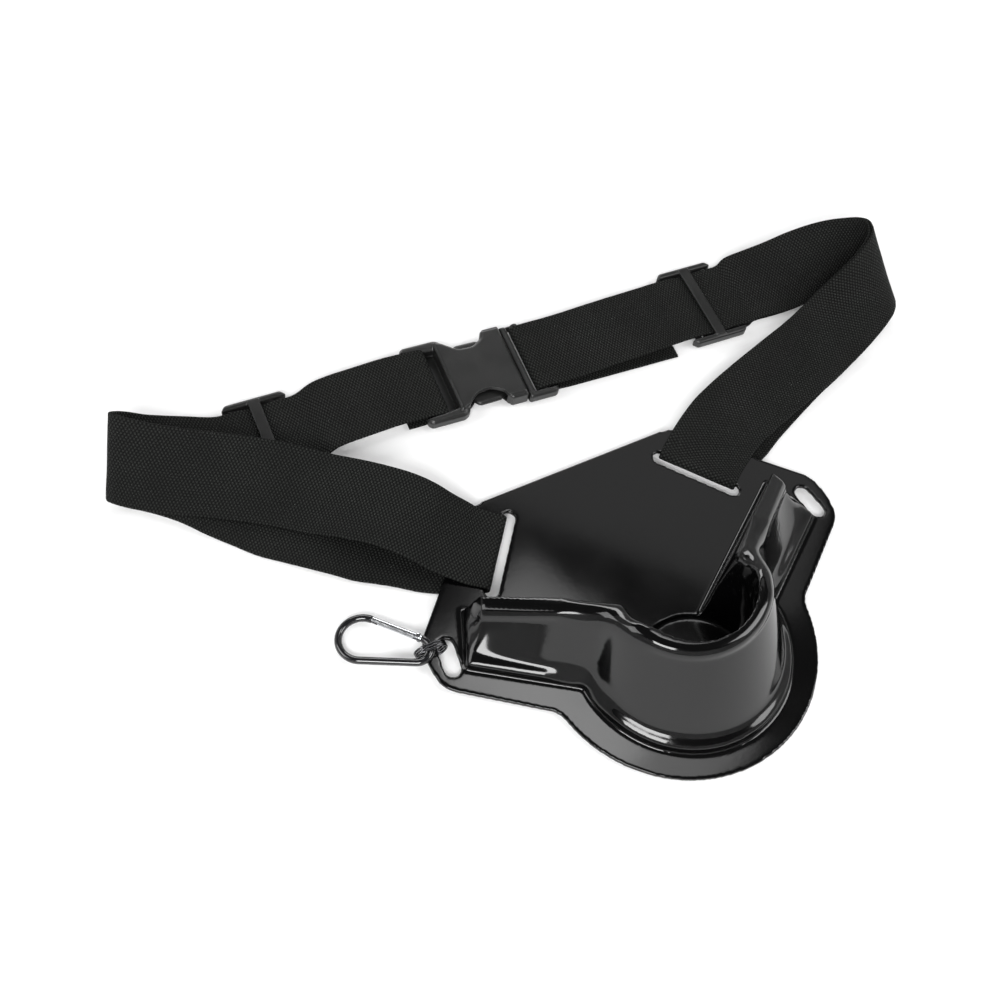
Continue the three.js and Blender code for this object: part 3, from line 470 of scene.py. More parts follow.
def plate_outline():
    distance, edge = EAR_EDGE
    normal = Vector((math.cos(edge), math.sin(edge)))
    along = Vector((-normal.y, normal.x))
    outward_by = distance + NECK
    reach = math.sqrt((LOBE + NECK) ** 2 - outward_by ** 2)
    neck = normal * outward_by + along * reach
    neck_angle = math.atan2(neck.y, neck.x)
    points = []
    for k in range(61):
        angle = lerp(-math.pi / 2, neck_angle, k / 60)
        points.append(Vector((LOBE * math.cos(angle), LOBE * math.sin(angle))))
    for k in range(1, 13):
        angle = lerp(neck_angle + math.pi, edge + math.pi, k / 12)
        points.append(Vector((math.cos(angle), math.sin(angle))) * NECK + neck)
    side_distance, side = SIDE_EDGE
    low_y = (EAR_HALF_WIDTH * normal.x - distance) / -normal.y
    high_y = (side_distance - EAR_HALF_WIDTH * math.cos(side)) / math.sin(side)
    top_x = (side_distance - TOP_Y * math.sin(side)) / math.cos(side)
    corners = rounded_outline([
        (points[-1].x, points[-1].y, 0),
        (EAR_HALF_WIDTH, low_y, EAR_LOW_RADIUS),
        (EAR_HALF_WIDTH, high_y, EAR_HIGH_RADIUS),
        (top_x, TOP_Y, TOP_RADIUS),
        (0, TOP_Y, 0),
    ], 14)
    half = points + corners[1:-1]
    return half + [Vector((-p.x, p.y)) for p in reversed(half)][:-1]


def ridge_section(inner, outer_top, outer_base, height, inset):
    low = -3 * PLATE_THICK if inset else PLATE_THICK / 3
    foot = min(FOOT["height"], height) - inset
    top = height - inset
    radius = min(EDGE_ROUND, (top - foot) / 2)
    back = (inner - outer_top).normalized()

    def at(p, z):
        return Vector((p.x, p.y, z))

    points = [at(inner, low), at(inner, top)]
    for k in range(9):
        angle = math.pi / 2 * k / 8
        shift = back * radius * (1 - math.sin(angle))
        points.append(at(outer_top + shift, top - radius * (1 - math.cos(angle))))
    points.append(at(outer_base, max(foot, low + 1)))
    points.append(at(outer_base, low))
    return points


def ridge_mesh(inset):
    outer_top = INNER + TOP_WIDTH - inset
    base_out = INNER + BASE_WIDTH - FOOT["width"] - inset
    base_radius = BASE_RADIUS - FOOT["width"] - inset
    outer_y, outer_radius = CUP_OUTER
    outer_radius -= inset
    top_start = crossing(outer_y, outer_radius, outer_top)
    base_start = crossing(BASE_CENTRE_Y, base_radius, base_out)
    end = ARM_END - inset

    def arm_height(along):
        return min(CUP_HEIGHT, ARM_END_HEIGHT + (ARM_END - along) * ARM_SLOPE)

    def arm(side):
        rows = [
            (1.0, max(FOOT["height"] + 2, inset + 2), 0.0),
            (1.0, ARM_END_HEIGHT * 0.6, ARM_END_RUN * 0.35),
            (1.0, ARM_END_HEIGHT, ARM_END_RUN),
        ]
        rows += [(1 - k / 24, None, ARM_END_RUN * (1 - k / 24) ** 4) for k in range(1, 25)]
        sections = []
        for share, height, drop in rows:
            top_at = lerp(top_start, end - ARM_SKEW / 2 - drop, share)
            base_at = lerp(base_start, end - ARM_SKEW - drop * 0.3, share)
            inner_at = lerp(top_start - TOP_WIDTH, end - drop, share)
            sections.append(ridge_section(
                on_arm(inner_at, INNER - 4, side),
                on_arm(top_at, outer_top, side),
                on_arm(base_at, base_out, side),
                arm_height(top_at) if height is None else height,
                inset,
            ))
        return sections

    start_top = on_arm(top_start, outer_top, 1)
    start_base = on_arm(base_start, base_out, 1)
    top_angle = math.atan2(start_top.y - outer_y, start_top.x)
    base_angle = math.atan2(start_base.y - BASE_CENTRE_Y, start_base.x)
    steps = 104
    rise_steps = 12
    bowl = []
    for k in range(1, steps):
        share = k / steps
        angle_top = lerp(top_angle, -math.pi - top_angle, share)
        angle_base = lerp(base_angle, -math.pi - base_angle, share)
        rise = min(1.0, min(k, steps - k) / rise_steps)

        def around(angle, radius, y):
            return Vector((radius * math.cos(angle), y + radius * math.sin(angle)))

        bowl.append(ridge_section(
            around(angle_top, 5, 0),
            around(angle_top, outer_radius, outer_y),
            around(angle_base, base_radius, BASE_CENTRE_Y),
            lerp(arm_height(top_start), CUP_HEIGHT, math.sin(rise * math.pi / 2)),
            inset,
        ))
    return loft_mesh("ridge", arm(1) + bowl + list(reversed(arm(-1))))


def ridge_foot():
    outer = INNER + BASE_WIDTH
    start = on_arm(crossing(BASE_CENTRE_Y, BASE_RADIUS, outer), outer, 1)
    angle = math.atan2(start.y - BASE_CENTRE_Y, start.x)
    outline = [
        on_arm(ARM_END, INNER, 1),
        on_arm(INNER * math.tan(ARM), INNER, 1),
        on_arm(ARM_END, INNER, -1),
        on_arm(ARM_END - ARM_SKEW, outer, -1),
    ]
    outline[1].x = 0
    for k in range(91):
        turn = lerp(-math.pi - angle, angle, k / 90)
        outline.append(Vector((BASE_RADIUS * math.cos(turn), BASE_CENTRE_Y + BASE_RADIUS * math.sin(turn))))
    outline.append(on_arm(ARM_END - ARM_SKEW, outer, 1))
    return prism("foot", outline, -PLATE_THICK / 2, FOOT["height"])


def pit_mesh(grow, low):
    def ring(z):
        share = max(z, 0) / CUP_HEIGHT
        y = lerp(CUP_FLOOR[0], CUP_RIM[0], share)
        radius = lerp(CUP_FLOOR[1], CUP_RIM[1], share) + grow
        points = []
        for k in range(120):
            angle = 2 * math.pi * k / 120
            points.append(Vector((radius * math.cos(angle), y + radius * math.sin(angle), z)))
        return points
    return loft_mesh("pit", [ring(low), ring(0), ring(CUP_HEIGHT * 1.3)])


def between_arms(grow, low):
    far = ARM_END + BASE_WIDTH
    out = INNER + grow
    near = on_arm(0, out, 1)
    tip = Vector((0, near.y - near.x * math.tan(ARM)))
    return prism("between", [tip, on_arm(far, out, 1), Vector((0, far * 2)), on_arm(far, out, -1)], low, 90)


def foot_weight(points):
    """The flare where the ridge meets the flange."""
    height = points[:, 2]
    return smooth_step(height, *FLARE["from"]) * (1 - smooth_step(height, *FLARE["to"]))


def junction_weight(points):
    """The hollow sweep where each arm runs into the cup."""
    top = on_arm(crossing(CUP_OUTER[0], CUP_OUTER[1], INNER + TOP_WIDTH), INNER + TOP_WIDTH, 1)
    base_out = INNER + BASE_WIDTH - FOOT["width"]
    base = on_arm(crossing(BASE_CENTRE_Y, BASE_RADIUS - FOOT["width"], base_out), base_out, 1)
    span = base - top
    x = numpy.abs(points[:, 0])
    share = numpy.clip(((x - top.x) * span.x + (points[:, 1] - top.y) * span.y) / span.length_squared, 0, 1)
    away = numpy.hypot(x - top.x - share * span.x, points[:, 1] - top.y - share * span.y)
    return smooth_step(points[:, 2], *JUNCTION["from"]) * (1 - smooth_step(away, *JUNCTION["reach"]))


def rim_start_weight(points):
    """The top corner where an arm's inner wall ends and the cup's rim begins."""
    corner = on_arm(crossing(*CUP_RIM, INNER), INNER, 1)
    away = numpy.hypot(numpy.abs(points[:, 0]) - corner.x, points[:, 1] - corner.y)
    return smooth_step(points[:, 2], *RIM_START["from"]) * (1 - smooth_step(away, *RIM_START["reach"]))


def waist_plate():
    body = prism("plate", plate_outline(), -PLATE_THICK, 0)
    body = carved(body, ridge_mesh(0), "UNION")
    body = carved(body, ridge_foot(), "UNION")
    hollow = ridge_mesh(RIDGE_WALL)
    hollow = carved(hollow, pit_mesh(RIDGE_WALL, -4 * PLATE_THICK), "DIFFERENCE")
    hollow = carved(hollow, between_arms(RIDGE_WALL, -4 * PLATE_THICK), "DIFFERENCE")
    body = carved(body, hollow, "DIFFERENCE")
    body = carved(body, between_arms(0, 0), "DIFFERENCE")
    body = carved(body, pit_mesh(0, -CUP_RECESS), "DIFFERENCE")
    for side in (1, -1):
        heading = STRAP_SLOT["degrees"] if side > 0 else 180 - STRAP_SLOT["degrees"]
        normal = Vector((math.cos(math.radians(heading)), math.sin(math.radians(heading))))
        along = Vector((-normal.y, normal.x)) * side
        centre = normal * STRAP_SLOT["distance"] + along * STRAP_SLOT["along"]
        slot = stadium(centre.x, centre.y, STRAP_SLOT["length"], STRAP_SLOT["width"], heading + 90)
        body = carved(body, prism("slot", slot, -9, 9), "DIFFERENCE")
        lean = 90 + side * EAR_SLOT["lean"]
        slot = stadium(side * EAR_SLOT["x"], EAR_SLOT["y"], EAR_SLOT["length"], EAR_SLOT["width"], lean)
        body = carved(body, prism("slot", slot, -9, 9), "DIFFERENCE")
    body = moulded(body, PLATE_VOXEL, PLATE_EASE)
    soften(body, FLARE["rounds"], foot_weight)
    soften(body, JUNCTION["rounds"], junction_weight)
    soften(body, RIM_START["rounds"], rim_start_weight)
    body = to_metres(thinned(body, PLATE_FACES), PLATE_PLACE)
    lay_piece("moulded_waist_plate", body, "plate", "waist_plate", "belt")


waist_plate()


# Webbing: the two layers of each side lie as the part has them
WEB_WIDE = 50.0
WEB_THICK = 1.7
LOOP = {"left": 260.0, "right": 266.0, "back": 178.0}
COLUMNS = ("across", "back", "lift", "face", "lean", "inner", "slip", "inner_lean")
ROUTES = {
    "right": [
        (0.363, 0.441, 0.15, 123, 2, 0.124, 0.06, 0.5),
        (0.433, 0.500, 0.15, 116, 4, 0.124, 0.14, 0.5),
        (0.545, 0.556, 0.14, 111, 8, 0.105, 0.08, 4),
        (0.660, 0.607, 0.13, 109, 9, 0.085, 0.02, 8),
        (0.770, 0.657, 0.13, 110, 9, 0.070, 0, 9),
        (0.855, 0.703, 0.17, 115, 16, 0.055, 0, 16),
        (0.925, 0.748, 0.24, 121, 31, 0.046, 0, 31),
        (0.975, 0.795, 0.25, 113, 40, 0.046, 0, 40),
        (1.000, 0.854, 0.20, 101, 44, 0.046, 0, 44),
        (0.992, 0.930, 0.10, 94, 50, 0.046, 0, 50),
        (0.935, 0.975, 0.04, 89, 49, 0.046, 0, 49),
        (0.850, 0.987, 0.025, 86, 36, 0.048, 0, 36),
        (0.745, 0.984, 0.025, 85, 18, 0.055, 0, 18),
        (0.640, 0.994, 0.025, 85, 5, 0.075, 0, 5),
    ],
    "left": [
        (0.369, 0.441, 0.15, 54, 2, 0.125, 0.08, 0),
        (0.423, 0.508, 0.24, 49, 5, 0.214, 0.20, 0),
        (0.485, 0.602, 0.38, 46, 6, 0.340, 0.31, 1),
        (0.557, 0.705, 0.36, 47, 7, 0.320, 0.39, 4),
        (0.630, 0.805, 0.19, 51, 13, 0.140, 0.40, 10),
        (0.706, 0.896, 0.14, 54, 21, 0.115, 0.40, 10),
        (0.792, 0.980, 0.125, 54, 25, 0.095, 0.26, 10),
        (0.880, 1.045, 0.18, 54, 27, 0.060, 0.05, 25),
        (0.945, 1.100, 0.21, 56, 30, 0.046, 0, 30),
        (0.990, 1.158, 0.19, 60, 33, 0.046, 0, 33),
        (0.998, 1.195, 0.11, 64, 34, 0.046, 0, 34),
        (0.958, 1.190, 0.045, 71, 28, 0.046, 0, 28),
        (0.880, 1.146, 0.025, 79, 16, 0.052, 0, 16),
        (0.795, 1.115, 0.025, 84, 5, 0.070, 0, 5),
    ],
}
REAR = {
    "right": {
        "glide_x": 141.0, "glide_y": 176.8, "face": 86.0, "bar_x": 11.0, "bar_y": 181.0, "tail": 96.0,
    },
    "left": {
        "glide_x": -162.0, "glide_y": 190.0, "face": 86.0, "bar_x": -56.2, "bar_y": 187.5, "tail": 22.0,
    },
}
REAR_BULGE = 3.0
TAIL_SINKS_IN = 24.0
SLOT_STAND_OFF = 0.5
BUCKLE_FACE = 84.5
GLIDE = {
    "length": 61.0, "depth": 37.0, "rail": 4.2, "height": 7.0, "splay": 2.5, "draw_in": 1.0, "bar_in": 4.0,
    "bar_z": 3.4, "bar_wide": 5.0, "bar_high": 2.0, "outer_high": 4.4, "centre_half": 3.7, "centre_low": 5.7,
    "centre_high": 8.0,
}
FITTING_VOXEL = 0.42
FITTING_EASE = 4
BUCKLE = {
    "width": 53.0, "frame": 59.6, "height": 11.5, "wall": 2.4, "length": 42.0, "bar": 14.0, "bar_wide": 5.0,
    "bar_high": 4.0, "bar_z": 5.6, "rail": 4.3, "prongs_bar": 11.6,
}


def width_at(face, lean):
    heading = math.radians(face)
    rise = math.radians(lean)
    return Vector((math.cos(rise) * math.cos(heading), math.cos(rise) * math.sin(heading), math.sin(rise)))


class Smooth:
    """A centripetal curve through points."""

    def __init__(self, points):
        first = points[0] * 2 - points[1]
        last = points[-1] * 2 - points[-2]
        self.points = [first] + list(points) + [last]
        self.spans = len(points) - 1

    def at(self, share):
        place = min(max(share, 0.0), 1.0) * self.spans
        i = min(int(place), self.spans - 1)
        t = place - i
        p0, p1, p2, p3 = self.points[i:i + 4]
        d0, d1, d2 = ((b - a).length ** 0.5 or 1e-4 for a, b in ((p0, p1), (p1, p2), (p2, p3)))
        start = ((p1 - p0) / d0 - (p2 - p0) / (d0 + d1) + (p2 - p1) / d1) * d1
        end = ((p2 - p1) / d1 - (p3 - p1) / (d1 + d2) + (p3 - p2) / d2) * d1
        return (
            p1 + start * t
            + (-3 * p1 + 3 * p2 - 2 * start - end) * t ** 2
            + (2 * p1 - 2 * p2 + start + end) * t ** 3
        )


def smooth_layers(side):
    sign = 1 if side == "right" else -1
    reach = sign * LOOP[side]
    rows = [dict(zip(COLUMNS, row)) for row in ROUTES[side]]
    places = [Vector((r["across"] * reach, r["back"] * LOOP["back"], r["lift"] * WEB_WIDE)) for r in rows]
    lower = Smooth(places)
    upper = Smooth([p + width_at(r["face"], r["lean"]) * WEB_WIDE for p, r in zip(places, rows)])
    length = sum((lower.at((k + 1) / 200) - lower.at(k / 200)).length for k in range(200))
    steps = round(length / 12)
    outer = []
    for k in range(steps + 1):
        low = lower.at(k / steps)
        outer.append((low, (upper.at(k / steps) - low).normalized()))
    inner = []
    last = len(rows) - 1
    for k, (low, width) in enumerate(outer):
        t = k / steps * last
        i = min(int(t), last - 1)

        def mix(name):
            return lerp(rows[i][name], rows[i + 1][name], t - i)

        along = outer[min(k + 1, steps)][0] - outer[max(k - 1, 0)][0]
        inward = width.cross(along).normalized() * sign
        face = math.degrees(math.atan2(width.y, width.x))
        shift = width_at(face, 0) * (-mix("slip") * WEB_WIDE)
        inner.append((low + inward * (mix("inner") * WEB_WIDE) + shift, width_at(face, mix("inner_lean"))))
    return outer, inner


def slot_bend(side):
    sign = 1 if side == "right" else -1
    heading = math.radians(STRAP_SLOT["degrees"])
    normal = Vector((sign * math.cos(heading), math.sin(heading), 0))
    along = Vector((-sign * math.sin(heading), math.cos(heading), 0))
    bend = PLATE_THICK / 2 + CLEARANCE + WEB_THICK / 2
    centre = normal * (STRAP_SLOT["distance"] + STRAP_SLOT["width"] / 2 + SLOT_STAND_OFF)
    centre += along * (STRAP_SLOT["along"] - WEB_WIDE / 2)
    centre.z = -PLATE_THICK / 2
    turned = PLATE_PLACE.to_3x3()
    places = []
    for k in range(-1, 10):
        turn = math.pi / 2 + math.pi * min(max(k, 0), 8) / 8
        out = bend * math.cos(turn) + (WEB_THICK * 2 if k < 0 or k > 8 else 0)
        low = centre + normal * out + Vector((0, 0, bend * math.sin(turn)))
        places.append((PLATE_PLACE @ low, turned @ along))
    return places


def rear_place(side, x, height, share=0.0):
    r = REAR[side]

    def on_line(at_x, at_y, face):
        return at_y - (x - at_x) / math.tan(math.radians(face))

    near = on_line(r["glide_x"], r["glide_y"], r["face"])
    far = on_line(r["bar_x"], r["bar_y"], BUCKLE_FACE)
    return Vector((x, lerp(near, far, share), height)), width_at(lerp(r["face"], BUCKLE_FACE, share), 0)


def webbing_places(side):
    sign = 1 if side == "right" else -1
    r = REAR[side]
    outer, inner = smooth_layers(side)
    out = sign * GLIDE["depth"] / 2
    under = CLEARANCE + WEB_THICK / 2
    over_bar = GLIDE["outer_high"] + CLEARANCE + WEB_THICK / 2
    under_bar = GLIDE["centre_low"] - CLEARANCE - WEB_THICK / 2
    places = [rear_place(side, r["glide_x"] + out * share, under) for share in (-0.5, 0.0, 0.6, 1.3)]
    places += list(reversed(outer))
    places += slot_bend(side)
    places += inner
    threading = (
        (1.3, over_bar),
        (0.6, over_bar),
        (0.3, under_bar),
        (-0.3, under_bar),
        (-0.6, over_bar),
        (-1.3, over_bar),
    )
    places += [rear_place(side, r["glide_x"] + out * share, height) for share, height in threading]
    wrap = BUCKLE["bar_high"] / 2 + CLEARANCE + WEB_THICK / 2
    for share in (0.35, 0.6, 0.8):
        x = lerp(r["glide_x"], r["bar_x"], share)
        bulge = REAR_BULGE * math.sin(math.pi * share)
        height = lerp(over_bar, BUCKLE["bar_z"] + wrap, share) + bulge
        places.append(rear_place(side, x, height, min(1, share * 1.25)))
    face = math.radians(BUCKLE_FACE)
    ahead = Vector((-sign * math.sin(face), sign * math.cos(face), 0))
    for k in range(9):
        turn = math.pi / 2 - math.pi * k / 8
        low, width = rear_place(side, r["bar_x"], 0, 1)
        low += ahead * (wrap * math.cos(turn) + (BUCKLE["bar_wide"] - BUCKLE["bar_high"]) / 2)
        low.z = BUCKLE["bar_z"] + wrap * math.sin(turn)
        places.append((low, width))
    for share in (0.25, 0.6, 1):
        height = lerp(BUCKLE["bar_z"] - wrap, under, min(1, share * r["tail"] / TAIL_SINKS_IN))
        places.append(rear_place(side, r["bar_x"] + sign * r["tail"] * share, height, 1))
    return places


# Half thickness of the webbing at places across it, with its rounded woven edges
EDGE_STEPS = ((0.0, 0.0), (0.12, 0.42), (0.4, 0.68), (0.9, 0.83), (1.8, 0.86), (2.8, 0.80))
MIDDLE_STEPS = 12


def across_profile():
    half = list(EDGE_STEPS)
    first = EDGE_STEPS[-1][0] + 0.8
    middle = [(lerp(first, WEB_WIDE - first, k / MIDDLE_STEPS), 0.85) for k in range(MIDDLE_STEPS + 1)]
    other = [(WEB_WIDE - v, h) for v, h in reversed(half)]
    top = half + middle + other
    bottom = [(v, -h) for v, h in reversed(top[1:-1])]
    return top + bottom


# Waves in the webbing: height, length along it and length across it
WAVES = ((0.22, 17, 13), (0.1, 4, 9))


def unevenness(along, across):
    """Woven webbing never lies quite flat: a few tenths of a millimetre up or down."""
    total = 0
    for layer, (high, run, wide) in enumerate(WAVES):
        total += high * noise.noise(Vector((along / run, across / wide, 5 * layer)))
    return total


def webbing_mesh(name, places, step=1.7):
    lows = [low for low, _ in places]
    lower = Smooth(lows)
    upper = Smooth([low + width * WEB_WIDE for low, width in places])
    samples = []
    spans = len(places) - 1
    for i in range(spans):
        count = max(2, math.ceil((lows[i + 1] - lows[i]).length / step))
        samples += [(i + k / count) / spans for k in range(count)]
    samples.append(1.0)
    low_line = [lower.at(t) for t in samples]
    high_line = [upper.at(t) for t in samples]
    profile = across_profile()
    rings = []
    run = [0.0]
    for i, (low, high) in enumerate(zip(low_line, high_line)):
        before = max(i - 1, 0)
        after = min(i + 1, len(samples) - 1)
        width = (high - low).normalized()
        along = (low_line[after] + high_line[after] - low_line[before] - high_line[before]).normalized()
        face = along.cross(width).normalized()
        if i:
            middle = (low + high - low_line[i - 1] - high_line[i - 1]) / 2
            run.append(run[-1] + middle.length)
        rings.append([low + width * v + face * (h + unevenness(run[-1], v)) for v, h in profile])
    count = len(profile)
    mesh = bpy.data.meshes.new(name)
    mesh.from_pydata([tuple(p) for ring in rings for p in ring], [], loft_faces(len(rings), count))
    layer = mesh.uv_layers.new(name="weave")
    for loop in mesh.loops:
        ring, j = divmod(loop.vertex_index, count)
        layer.data[loop.index].uv = (run[ring] * MM, profile[j][0] * MM)
    outward(mesh, merge=False)
    shade_smooth(mesh)
    return mesh, run[-1]


def make_webbing(side):
    name = f"woven_strap_{side}"
    mesh, length = webbing_mesh(name, webbing_places(side))
    lay_piece(name, to_metres(mesh), "webbing", f"webbing_{side}", "belt")
    print(f"webbing {side}: {length:.0f} mm long")


for strap_side in ("left", "right"):
    make_webbing(strap_side)


# Slides and buckle: outlines in millimetres, X along the webbing and Y across it
def eased_prism(outline, low, high, ease):
    """A prism whose top and bottom edges are drawn in, for a softer moulding."""

    def inset(by):
        points = []
        for i, p in enumerate(outline):
            before = p - outline[i - 1]
            after = outline[(i + 1) % len(outline)] - p
            normal = Vector((before.y + after.y, -before.x - after.x))
            if normal.length > 1e-6:
                normal.normalize()
            points.append(p - normal * by)
        return points

    area = sum(outline[i - 1].x * p.y - p.x * outline[i - 1].y for i, p in enumerate(outline))
    sign = 1 if area > 0 else -1
    rings = []
    for z, by in ((low, ease), (low + ease, 0), (high - ease, 0), (high, ease)):
        rings.append([Vector((p.x, p.y, z)) for p in inset(sign * by)])
    return loft_mesh("eased", rings)


def cylinder_bar(x, z, wide, high, reach):
    ring = []
    for k in range(24):
        angle = 2 * math.pi * k / 24
        ring.append((x + wide / 2 * math.cos(angle), z + high / 2 * math.sin(angle)))
    rings = [[Vector((px, y, pz)) for px, pz in ring] for y in (-reach, reach)]
    return loft_mesh("bar", rings)


def block(x0, y0, z0, x1, y1, z1):
    outline = [Vector((x0, y0)), Vector((x1, y0)), Vector((x1, y1)), Vector((x0, y1))]
    return prism("block", outline, z0, z1)


def union(meshes):
    whole = meshes[0]
    for mesh in meshes[1:]:
        whole = carved(whole, mesh, "UNION")
    return whole


def lay_on_rear(x, y, face):
    return Matrix.Translation((x, y, 0)) @ Matrix.Rotation(math.radians(face - 90), 4, "Z")


def make_tri_glide(side):
    low = (WEB_WIDE - GLIDE["length"]) / 2
    high = low + GLIDE["length"]
    half = GLIDE["depth"] / 2
    rail = GLIDE["rail"]
    base = half + GLIDE["splay"]
    tip = half - GLIDE["draw_in"]
    meshes = []
    for y_in, y_out in ((low + rail, low), (high - rail, high)):
        corners = [(-base, y_in, 0.8), (base, y_in, 0.8), (tip, y_out, 3.0), (-tip, y_out, 3.0)]
        outline = rounded_outline(corners, 6)
        meshes.append(eased_prism(outline, CLEARANCE, GLIDE["height"], 1.0))
    reach = (GLIDE["length"] - rail) / 2
    for end in (-1, 1):
        x = end * (half - GLIDE["bar_in"])
        bar = cylinder_bar(x, GLIDE["bar_z"], GLIDE["bar_wide"], GLIDE["bar_high"], reach)
        bar.transform(Matrix.Translation((0, WEB_WIDE / 2, 0)))
        meshes.append(bar)
    wide = GLIDE["centre_half"]
    floor = GLIDE["centre_low"]
    roof = GLIDE["centre_high"]
    corners = [(-wide, floor, 0.5), (wide, floor, 0.5), (wide, roof, 0.7), (-wide, roof, 0.7)]
    centre = rounded_outline(corners, 4)
    rings = [[Vector((p.x, y, p.y)) for p in centre] for y in (low + rail / 2, high - rail / 2)]
    meshes.append(loft_mesh("centre", rings))
    body = moulded(union(meshes), FITTING_VOXEL, FITTING_EASE)
    r = REAR[side]
    body = to_metres(body, lay_on_rear(r["glide_x"], r["glide_y"], r["face"]))
    lay_piece(f"moulded_slide_{side}", body, "fittings", f"tri_glide_{side}", "belt")


for slide_side in ("left", "right"):
    make_tri_glide(slide_side)


SOCKET_BACK = -BUCKLE["length"]
SOCKET_BAR = SOCKET_BACK - BUCKLE["bar"]
BUCKLE_ACROSS = width_at(BUCKLE_FACE, 0)
BUCKLE_AHEAD = Vector((BUCKLE_ACROSS.y, -BUCKLE_ACROSS.x, 0))
BUCKLE_PLACE = (
    Vector((REAR["left"]["bar_x"], REAR["left"]["bar_y"], 0))
    + BUCKLE_ACROSS * (WEB_WIDE / 2)
    - BUCKLE_AHEAD * SOCKET_BAR
)


def buckle_bar(x):
    reach = BUCKLE["frame"] / 2 - 2
    return cylinder_bar(x, BUCKLE["bar_z"], BUCKLE["bar_wide"], BUCKLE["bar_high"], reach)


def lay_buckle(name, meshes, node):
    placing = lay_on_rear(BUCKLE_PLACE.x, BUCKLE_PLACE.y, BUCKLE_FACE)
    body = to_metres(moulded(union(meshes), FITTING_VOXEL, FITTING_EASE), placing)
    lay_piece(name, body, "fittings", node, "belt")


def both_sides(corners):
    """A closed outline from one side's corners, run out on +Y and back on -Y."""
    return corners + [(x, -y, r) for x, y, r in reversed(corners)]


def make_socket():
    half = BUCKLE["width"] / 2
    frame_half = BUCKLE["frame"] / 2
    height = BUCKLE["height"]
    wall = BUCKLE["wall"]
    cover = rounded_outline(both_sides([
        (0, half, 1.5),
        (-12.5, half, 2.0),
        (-15.0, half - 5.5, 3.0),
        (-21.5, half - 9.5, 7.0),
        (-31, half - 9.0, 9.0),
        (-39.5, half - 1.5, 5.0),
        (SOCKET_BACK - 3.0, half + 1.0, 1.0),
    ]), 10)
    shell = eased_prism(cover, CLEARANCE, height, 1.6)
    hollow = block(SOCKET_BACK + 4, -half + wall, CLEARANCE + wall, 5, half - wall, height - wall)
    shell = carved(shell, hollow, "DIFFERENCE")
    meshes = [shell]
    for side in (1, -1):
        lug = rounded_outline([
            (SOCKET_BACK + 6, side * (half - 5.0), 3.0),
            (SOCKET_BACK + 1, side * frame_half, 7.0),
            (SOCKET_BAR - 11, side * frame_half, 4.0),
            (SOCKET_BAR - 11, side * (frame_half - 4.8), 0.6),
        ], 9)
        meshes.append(eased_prism(lug, 1.0, height - 2.2, 1.7))
        collar = rounded_outline([
            (0, side * (half - 2.0), 0.4),
            (0, side * (half + 1.2), 1.2),
            (-11.5, side * (half + 1.2), 1.2),
            (-11.5, side * (half - 2.0), 0.4),
        ], 5)
        meshes.append(eased_prism(collar, CLEARANCE, height - 1.0, 1.1))
    # A thin sill under the slot between the socket's back and its bar, so the slot shows dark instead of the
    # floor: a dark sheet standing for the shade in the slot.
    meshes.append(block(SOCKET_BACK - 9, -half + 1, CLEARANCE, SOCKET_BACK + 2, half - 1, 1.2))
    meshes.append(buckle_bar(SOCKET_BAR))
    lay_buckle("moulded_socket", meshes, "buckle_socket")


def make_prongs():
    half = BUCKLE["width"] / 2
    frame_half = BUCKLE["frame"] / 2
    height = BUCKLE["height"]
    in_wall = half - BUCKLE["wall"] - CLEARANCE
    base = rounded_outline(both_sides([(5.0, half, 1.5), (CLEARANCE, half, 1.0)]), 5)
    meshes = [eased_prism(base, CLEARANCE, height - 2.2, 1.0)]
    tip = SOCKET_BACK + 6
    for side in (1, -1):
        shaft = rounded_outline([
            (2, side * (in_wall - 7), 0.5),
            (2, side * (in_wall - 2), 0.5),
            (-12, side * (in_wall - 3), 3),
            (-17, side * (in_wall - 0.4), 3),
            (tip + 4, side * (in_wall - 0.2), 4),
            (tip, side * (in_wall - 9), 2),
            (-20, side * (in_wall - 9), 3),
        ], 5)
        meshes.append(eased_prism(shaft, 2.9, 6.6, 1.2))
        rail_out = frame_half - (1.2 if side > 0 else 0)
        rail_top = height - (5.5 if side > 0 else 2.6)
        rail_end = BUCKLE["prongs_bar"] + (4.5 if side > 0 else 9)
        rail = rounded_outline([
            (CLEARANCE, side * (frame_half - 4.3), 0.5),
            (CLEARANCE, side * rail_out, 1.5),
            (rail_end, side * rail_out, 3.0),
            (rail_end, side * (frame_half - 4.3), 1.0),
        ], 6)
        meshes.append(eased_prism(rail, 1.0, rail_top, 1.4))
    meshes.append(block(tip + 6, -6, 4.2, 2, 6, 6.4))
    meshes.append(buckle_bar(BUCKLE["prongs_bar"]))
    lay_buckle("moulded_prongs", meshes, "buckle_prongs")


make_socket()
make_prongs()


